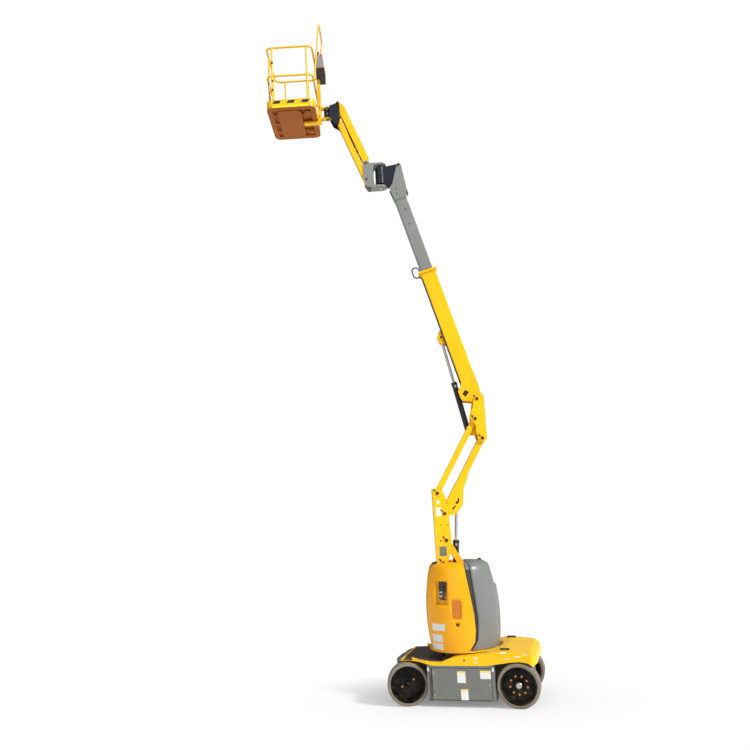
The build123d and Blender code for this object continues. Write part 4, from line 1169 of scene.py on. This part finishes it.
def cylinder_fittings(name: str, body: str, base: tuple, eye: tuple, radius: float, reach: float,
                      mouth: float) -> None:
    """Builds a gland nut and two port unions on a cylinder's barrel.

    Args:
        name: the cylinder's name.
        body: the barrel's body.
        base: the base pin's X and Z.
        eye: the rod eye's X and Z.
        radius: the barrel's outer radius.
        reach: how far its port unions stand out, as a share of their full height.
        mouth: the distance of its mouth from the base pin.
    """
    length = math.hypot(eye[0] - base[0], eye[1] - base[1])
    ux, uz = (eye[0] - base[0]) / length, (eye[1] - base[1]) / length
    steel = Piece(f"{name}_ports", body, "zinc", "bearing_steel")
    gland = mouth - 0.006
    nut = ((radius * 0.52, 0.007), (radius * 0.92, 0.007), (radius * 0.92, 0.013), (radius * 0.56, 0.015))
    steel.ring(seat((base[0] + ux * gland, 0, base[1] + uz * gland), (ux, 0, uz), ALONG_Y), nut, 32)
    for along in (0.075, mouth - 0.065):
        at = seat((base[0] + ux * along, radius - 0.001, base[1] + uz * along), ALONG_Y, (ux, 0, uz))
        foot = 0.012 * reach
        steel.plate(at, 0.034, 0.04, foot, 0.005, 0.0015)
        steel.pile(shift(at, z=foot), (0.011, foot, 6, 0.001), (0.007, 0.008 * reach, 16, 0.001))


@dataclass
class BoomTrim:
    """Collar bolts, wear pads, hose saddles, studs, cylinder fittings and the foot's painted-shade plates of
    the boom.
    """

    pivot: Pair = (-0.458, 4.465)
    angle: float = 74.2
    outer_end: float = 2.3
    cheek_y: float = 0.106
    collar_y: float = 0.105
    wear_pad: Pair = (0.079, -0.014)
    # along, across and above of the dark plates in the foot, which are painted shade
    foot_shade: Point = (0.147, 0.0903, -0.1285)
    pad_y: float = 0.0710
    slot_y: float = 0.084
    saddle: Pair = (0.078, -0.1595)
    eye_y: float = 0.066
    base_pin: Pair = (-0.303, 3.95)
    eye_pin: Pair = (1.148, -0.184)
    nose_pin: Pair = (4.229, 0.143)
    # places along and above the boom
    collar_bolts: tuple = (-0.115, -0.045, 0.03, 0.1)
    cheek_bolts: Spots = ((0.12, 0.06), (0.29, 0.06), (0.375, 0.06))
    foot_bolts: Spots = ((0.235, -0.2), (0.07, -0.195), (0.3, -0.115))
    saddles: tuple = (0.55, 0.9, 1.34, 1.7, 2.06)
    pads: Spots = ((3.165, -0.03), (3.43, -0.008))
    slots: Spots = ((3.83, -0.03), (3.745, -0.055))

    def along(self, along: float, above: float) -> Pair:
        """Gives the X and Z of a place along and above the boom.

        Args:
            along: the distance from the foot's pivot.
            above: the distance above the boom's axis.

        Returns:
            X and Z.
        """
        dx, dz = polar(self.angle, along)
        ex, ez = polar(self.angle + 90, above)
        return self.pivot[0] + dx + ex, self.pivot[1] + dz + ez

    def spot(self, along: float, y: float, above: float, out: Point) -> Matrix:
        """Gives a seat on the boom.

        Args:
            along: the distance from the foot's pivot.
            y: the distance to the left of the boom's plane.
            above: the distance above the boom's axis.
            out: the direction out, as parts along, across and above.

        Returns:
            The seat.
        """
        x, z = self.along(along, above)
        ux, uz = polar(self.angle, 1.0)
        vx, vz = polar(self.angle + 90, 1.0)
        direction = (out[0] * ux + out[2] * vx, out[1], out[0] * uz + out[2] * vz)
        return seat((x, y, z), direction, (ux, 0, uz) if abs(out[0]) < 0.5 else ALONG_Y)

    def build(self) -> None:
        """Builds the boom's trim."""
        bolts = Piece("collar_bolts", "boom_outer", "zinc", "bearing_steel")
        pads = Piece("collar_pads", "boom_outer", "seal_black", "hose_black")
        # dark brown plates inside the foot's cheeks: painted shade that fills the holes with the far cheek's
        # shadow
        foot_shades = Piece("foot_shade_plates", "boom_outer", "pin_brown", "dark_paint")
        studs = Piece("inner_boom_pads", "boom_inner", "plate_grey", "grey_paint")
        cores = Piece("inner_boom_cores", "boom_inner", "seal_black", "dark_paint")
        for side in BOTH:
            out = (0, side, 0)
            for above in self.collar_bolts:
                bolts.disc(self.spot(self.outer_end, side * self.collar_y, above - 0.008, ALONG_X), *BOLT)
            across, above = self.wear_pad
            pads.plate(self.spot(self.outer_end, side * across, above, ALONG_X), *WEAR_PAD)
            for along, above in self.cheek_bolts:
                bolts.disc(self.spot(along, side * self.cheek_y, above, out), *CHEEK_BOLT)
            for along, above in self.foot_bolts:
                bolts.disc(self.spot(along, side * self.cheek_y, above, out), *FOOT_BOLT)
            # the foot's dark plate on this side, painted shade seen through the holes
            along, across, above = self.foot_shade
            foot_shades.plate(self.spot(along, side * across, above, out), *FOOT_SHADE_PLATE)
            for along, above in self.pads:
                at = self.spot(along, side * self.pad_y, above, out)
                studs.disc(at, *PAD_STUD)
                cores.disc(shift(at, z=0.0008), *PAD_CORE)
            for along, above in self.slots:
                at = turned(self.spot(along, side * self.slot_y, above, out), 0.5 * side)
                cores.plate(at, *BOOM_SLOT)
        saddles = Piece("hose_saddles", "boom_outer", "zinc", "bearing_steel")
        for along in self.saddles:
            saddles.plate(self.spot(along, *self.saddle, (0, 0, -1)), *SADDLE)
        eye = self.along(*self.eye_pin)
        PinSet("nose", "boom_inner", 0.090, (self.along(*self.nose_pin),)).build()
        PinSet("boom_lift_base", "riser_head", self.eye_y, (self.base_pin,)).build()
        PinSet("boom_lift_eye", "boom_outer", self.eye_y, (eye,)).build()
        cylinder_fittings("boom_lift", "boom_barrel", self.base_pin, eye, 0.044, 1.0, 0.836)


@dataclass
class JibTrim:
    """Pins of the jib, and bolts, bands and ports of its two rotary actuators."""

    foot: Pair = (1.106, 8.338)
    rise: float = 0.295
    angle: float = 69.3
    length: float = 1.235
    swing_x: float = 0.872
    turn_x: float = 1.722
    pin_y: float = 0.114
    swing_bolts: tuple[int, float] = (8, 0.072)
    swing_bands: Pair = (8.29, 8.53)
    swing_port: Point = (0.852, 0.0816, 8.41)
    turn_ports: Table = ((1.726, 0.069, 9.61), (1.726, 0.069, 9.69))
    swing_caps: Spots = ((1, 8.628), (-1, 8.198))
    turn_caps: Spots = ((1, 9.772), (-1, 9.532))

    def build(self) -> None:
        """Builds the jib's trim."""
        feet = (self.foot, (self.foot[0], self.foot[1] + self.rise))
        dx, dz = polar(self.angle, self.length)
        tops = tuple((x + dx, z + dz) for x, z in feet)
        PinSet("jib_foot", "jib_base", self.pin_y, feet, 0.017).build()
        PinSet("jib_top", "jib_end", self.pin_y, tops, 0.017).build()
        cylinder_fittings("jib_lift", "jib_barrel", tops[0], feet[1], 0.030, 0.4, 0.69)
        bolts = Piece("swing_bolts", "jib_base", "zinc", "bearing_steel")
        for out, z in self.swing_caps:
            count, circle = self.swing_bolts
            for index in range(count):
                x, y = polar((index + 0.5) * 360 / count, circle)
                bolts.disc(level(self.swing_x + x, y, z, out), *SWING_BOLT)
            bolts.disc(level(self.swing_x, 0, z, out), *SWING_CAP)
        bands = Piece("swing_bands", "swing_knuckle", "barrel_black", "dark_paint")
        for z in self.swing_bands:
            bands.ring(level(self.swing_x, 0, z), sleeve(0.0835, 0.088, -0.006, 0.006), 40)
        ports = Piece("turn_ports", "jib_end", "zinc", "bearing_steel")
        for side in BOTH:
            bands.pile(flank(*self.swing_port, side), UNION, SWING_PORT)
            for port in self.turn_ports:
                ports.pile(flank(*port, side), UNION, TURN_PORT)
        for out, z in self.turn_caps:
            ports.disc(level(self.turn_x, 0, z, out), *TURN_NUT)


@dataclass
class PlatformTrim:
    """Marks, bands, tread plate, pan, strut and the fittings of the control console."""

    x0: float = 1.9
    x1: float = 2.722
    half: float = 0.52
    floor_top: float = 9.55
    mast_x: float = 1.896
    console_z: float = 10.4763
    post_inset: float = 0.0213
    corner: float = 0.11
    # x, side and length of the slanted marks
    marks: Table = ((2.06, 1, 0.12), (2.3, 1, 0.12), (2.54, 1, 0.12), (2.02, -1, 0.07), (2.62, -1, 0.07))
    end_marks: tuple = (-0.28, 0.0, 0.28)
    slant: float = 0.55
    mark: Pair = (0.062, 0.056)
    lip_low: float = 0.018
    lip_height: float = 0.036
    lip_inset: float = 0.0012
    lip_thick: float = 0.0015
    band_heights: Point = (9.85, 10.02, 10.36)
    pan_studs: Point = (-0.3, 0.02, 0.33)
    mast_bolts: tuple = (9.57, 9.6, 9.74, 9.77)
    bracket_bolts: Pair = (10.12, 10.22)
    turn_x: float = 1.722
    washers: Spots = ((1, 9.767), (-1, 9.537))
    toggles: Spots = ((-0.05, -0.03), (-0.05, 0.0), (-0.05, 0.03), (-0.09, -0.02), (-0.09, 0.02))
    strut: tuple[Point, Point] = ((2.66, 0.25, 9.57), (2.7005, 0.36, 10.09))

    def build(self) -> None:
        """Builds the platform's trim."""
        self.toe_boards()
        self.post_and_strut()
        self.tread()
        self.console()
        self.mount()

    def toe_boards(self) -> None:
        """Builds the dark slanted marks and the pale lower lip of the toe boards."""
        marks = Piece("toe_marks", "platform", "seal_black", "console_black")
        shear = Matrix.Identity(4)
        shear[0][1] = self.slant
        z, height = self.floor_top + self.mark[0], self.mark[1]
        spots = [(flank(x, self.half - 0.0003, z, side), length) for x, side, length in self.marks]
        spots += [(seat((self.x1 - 0.0003, y, z), ALONG_X), 0.12) for y in self.end_marks]
        for at, length in spots:
            marks.plate(at @ shear, length, height, FOIL)
        lip = Piece("toe_lip", "platform", "lip_yellow", "yellow_paint")
        z = self.floor_top - self.lip_low
        for side in BOTH:
            at = flank((self.x0 + self.x1) / 2, self.half - self.lip_inset, z, side)
            lip.plate(at, self.x1 - self.x0 - 2 * self.corner, self.lip_height, self.lip_thick)
        for x, out in ((self.x0, -1), (self.x1, 1)):
            at = seat((x - out * self.lip_inset, 0, z), (out, 0, 0))
            lip.plate(at, 2 * (self.half - self.corner), self.lip_height, self.lip_thick)
        near, far, y = self.x0 + self.corner, self.x1 - self.corner, self.half - self.corner
        for x, y, start in ((near, y, 90.0), (near, -y, 180.0), (far, y, 0.0), (far, -y, 270.0)):
            at = SLEW @ Matrix.Translation((x, y, self.floor_top))
            lip.ring(at, sleeve(0.1088, 0.1103, -self.lip_height, 0.0), 8, start, 90.0)

    def post_and_strut(self) -> None:
        """Builds the dark bands on the far post and the gas strut beside it."""
        bands = Piece("post_bands", "platform", "seal_black", "console_black")
        x, y = self.x1 - self.post_inset - 0.096, self.half - self.post_inset
        for z in self.band_heights:
            bands.ring(level(x, y, z), sleeve(0.0158, 0.0172, -0.022, 0.022), 24)
        strut = Piece("platform_strut", "platform", "hose_black", "hose_black")
        lean = Vector(self.strut[1]) - Vector(self.strut[0])
        at = seat(self.strut[0], lean, ALONG_X)
        strut.disc(at, 0.010, lean.length * 0.55, 16, 0.001)
        strut.disc(at, 0.006, lean.length, 12)

    def tread(self) -> None:
        """Builds the tread plate inside the toe boards and the pressed pan under the floor."""
        middle = (self.x0 + self.x1) / 2
        plate = Piece("tread_plate", "platform", "pan_amber_and_shade", "floor_paint")
        plate.plate(level(middle, 0, self.floor_top + 0.003, up=ALONG_Y), self.x1 - self.x0 - 0.11,
                    2 * self.half - 0.11, 0.0015, 0.06)
        pan = Piece("floor_pan", "platform", "pan_amber_and_shade", "floor_paint")
        base = level(middle, 0, self.floor_top - 0.045, -1, ALONG_Y)
        pan.plate(shift(base, -0.045), *FLOOR_PAN)
        for y in self.pan_studs:
            pan.disc(shift(base, 0.27, y), *PAN_STUD)

    def panel(self, along: float, across: float) -> Matrix:
        """Gives a seat on the console's sloping top."""
        height = self.console_z + 0.2005 + (along + 0.128) * 0.132
        return seat((self.mast_x + along, across, height), (-0.013, 0, 0.1), ALONG_Y)

    def console(self) -> None:
        """Builds the lever, buttons and trim of the platform controls."""
        bar = Piece("console_bar", "platform", "cowl_enamel", "yellow_paint")
        base = level(self.mast_x - 0.078, 0, self.console_z - 0.012, up=ALONG_Y)
        bar.plate(base, *CONSOLE_BAR)
        grips = Piece("console_grips", "platform", "box_black", "console_black")
        lever = self.panel(-0.035, 0.07)
        grips.disc(lever, *LEVER_BOOT)
        grips.disc(shift(lever, z=0.034), *LEVER)
        grips.plate(self.panel(-0.07, 0.0), *GRIP_PAD)
        stop = Piece("console_stop", "platform", "stop_red", "console_black")
        stop.disc(self.panel(-0.09, 0.098), *CONSOLE_STOP)
        metal = Piece("console_toggles", "platform", "zinc", "bearing_steel")
        for along, across in self.toggles:
            metal.disc(shift(self.panel(along, across), z=0.004), *CONSOLE_TOGGLE)
        z = self.console_z + 0.09
        metal.flanks(0.14, ((self.mast_x - 0.115, z), (self.mast_x - 0.04, z)), *CONSOLE_SCREW)

    def mount(self) -> None:
        """Builds the bolts and washers of the platform's mount."""
        bolts = Piece("mount_bolts", "platform", "barrel_black", "dark_paint")
        x = self.mast_x - 0.03
        bolts.flanks(0.046, [(x, z) for z in self.mast_bolts], *BOLT)
        bolts.flanks(0.046, [(x, z) for z in self.bracket_bolts], *MAST_BOLT)
        for out, z in self.washers:
            bolts.ring(level(self.turn_x, 0, z, out), TURN_WASHER, 32)


@dataclass
class Studio:
    """Floor, backdrop light, lamps and camera."""

    camera_at: Point = (-1.964, 11.324, 2.801)
    right: Point = (-0.95966, -0.27652, -0.05088)
    up: Point = (-0.09954, 0.16493, 0.98127)
    ahead: Point = (0.26295, -0.94675, 0.1858)
    lens: float = 34.445
    # angles in degrees, strength and breadth in degrees of a high key lamp and a weak fill
    lamps: tuple = (("key", (56, 0, 249), 3.4, 9), ("fill", (66, 0, 170), 0.45, 40))
    ambient: float = 0.38

    def build(self) -> None:
        """Builds the studio round the machine."""
        scene = bpy.context.scene
        scene.view_settings.view_transform = "Standard"
        camera = bpy.data.cameras.new("camera")
        camera.lens, camera.sensor_width, camera.clip_end = self.lens, 36.0, 200
        eye = bpy.data.objects.new("camera", camera)
        eye.matrix_world = Matrix.Translation(self.camera_at) @ Matrix(
            (self.right, self.up, -Vector(self.ahead))).transposed().to_4x4()
        scene.collection.objects.link(eye)
        scene.camera = eye
        self.world()
        for name, angles, power, breadth in self.lamps:
            sun = bpy.data.lights.new(name, "SUN")
            sun.energy, sun.angle = power, math.radians(breadth)
            lamp = bpy.data.objects.new(name, sun)
            lamp.rotation_euler = [math.radians(a) for a in angles]
            scene.collection.objects.link(lamp)
        self.floor()

    def world(self) -> None:
        """Lights the studio from all round and shows it white behind the machine."""
        world = bpy.data.worlds.new("studio")
        world.use_nodes = True
        bpy.context.scene.world, tree = world, world.node_tree
        path = add_node(tree, "LightPath").outputs
        seen = add_node(tree, "Math", {0: path["Is Camera Ray"], 1: path["Is Transmission Ray"]},
                        operation="ADD", use_clamp=True)
        glow = add_node(tree, "MapRange", {"Value": seen.outputs[0], "To Min": self.ambient, "To Max": 1.0})
        feed(tree, tree.nodes["Background"].inputs["Color"], (1, 1, 1))
        feed(tree, tree.nodes["Background"].inputs["Strength"], glow.outputs[0])

    def floor(self) -> None:
        """Lays a pale floor that keeps the machine's shadow and fades to white."""
        graph = Graph("studio_floor")
        graph.dress(Base_Color=(0.9, 0.9, 0.9), Roughness=0.9)
        glow = graph.node("Emission", {"Color": (1, 1, 1), "Strength": 1.0}).outputs[0]
        path = graph.node("LightPath").outputs
        seen = Value(graph, path["Is Camera Ray"]) + Value(graph, path["Is Glossy Ray"]) * 0.5
        spread = graph.node("VectorMath", {0: graph.place((0.62, 1.0, 1.0))}, operation="LENGTH")
        far = Value(graph, spread.outputs["Value"]).rise(0.35, 1.9)
        mixed = graph.node("MixShader", {0: (far * 0.78 + 0.22) * seen, 1: graph.shader.outputs[0], 2: glow})
        graph.tree.links.new(mixed.outputs[0], graph.output.inputs["Surface"])
        data = bpy.data.meshes.new("studio_floor")
        mesh = bmesh.new()
        bmesh.ops.create_grid(mesh, x_segments=2, y_segments=2, size=60)
        mesh.to_mesh(data)
        mesh.free()
        data.materials.append(graph.material)
        floor = bpy.data.objects.new("studio_floor", data)
        bpy.context.scene.collection.objects.link(floor)


def dress_frame() -> None:
    """Gives every CAD node its finish."""
    for node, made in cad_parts.items():
        made.data.materials.clear()
        made.data.materials.append(material(node_finish(node)))


def main() -> None:
    """Builds the machine's looks in order."""
    logging.basicConfig(level=logging.INFO, format="%(name)s %(message)s")
    Studio().build()
    dress_frame()
    for assembly in (WheelTrim, ChassisTrim, TurretTrim, RiserTrim, BoomTrim, JibTrim, PlatformTrim):
        LOG.info("building %s", assembly.__name__)
        assembly().build()
        Piece.finish_all()


if __name__ == "__main__":
    main()
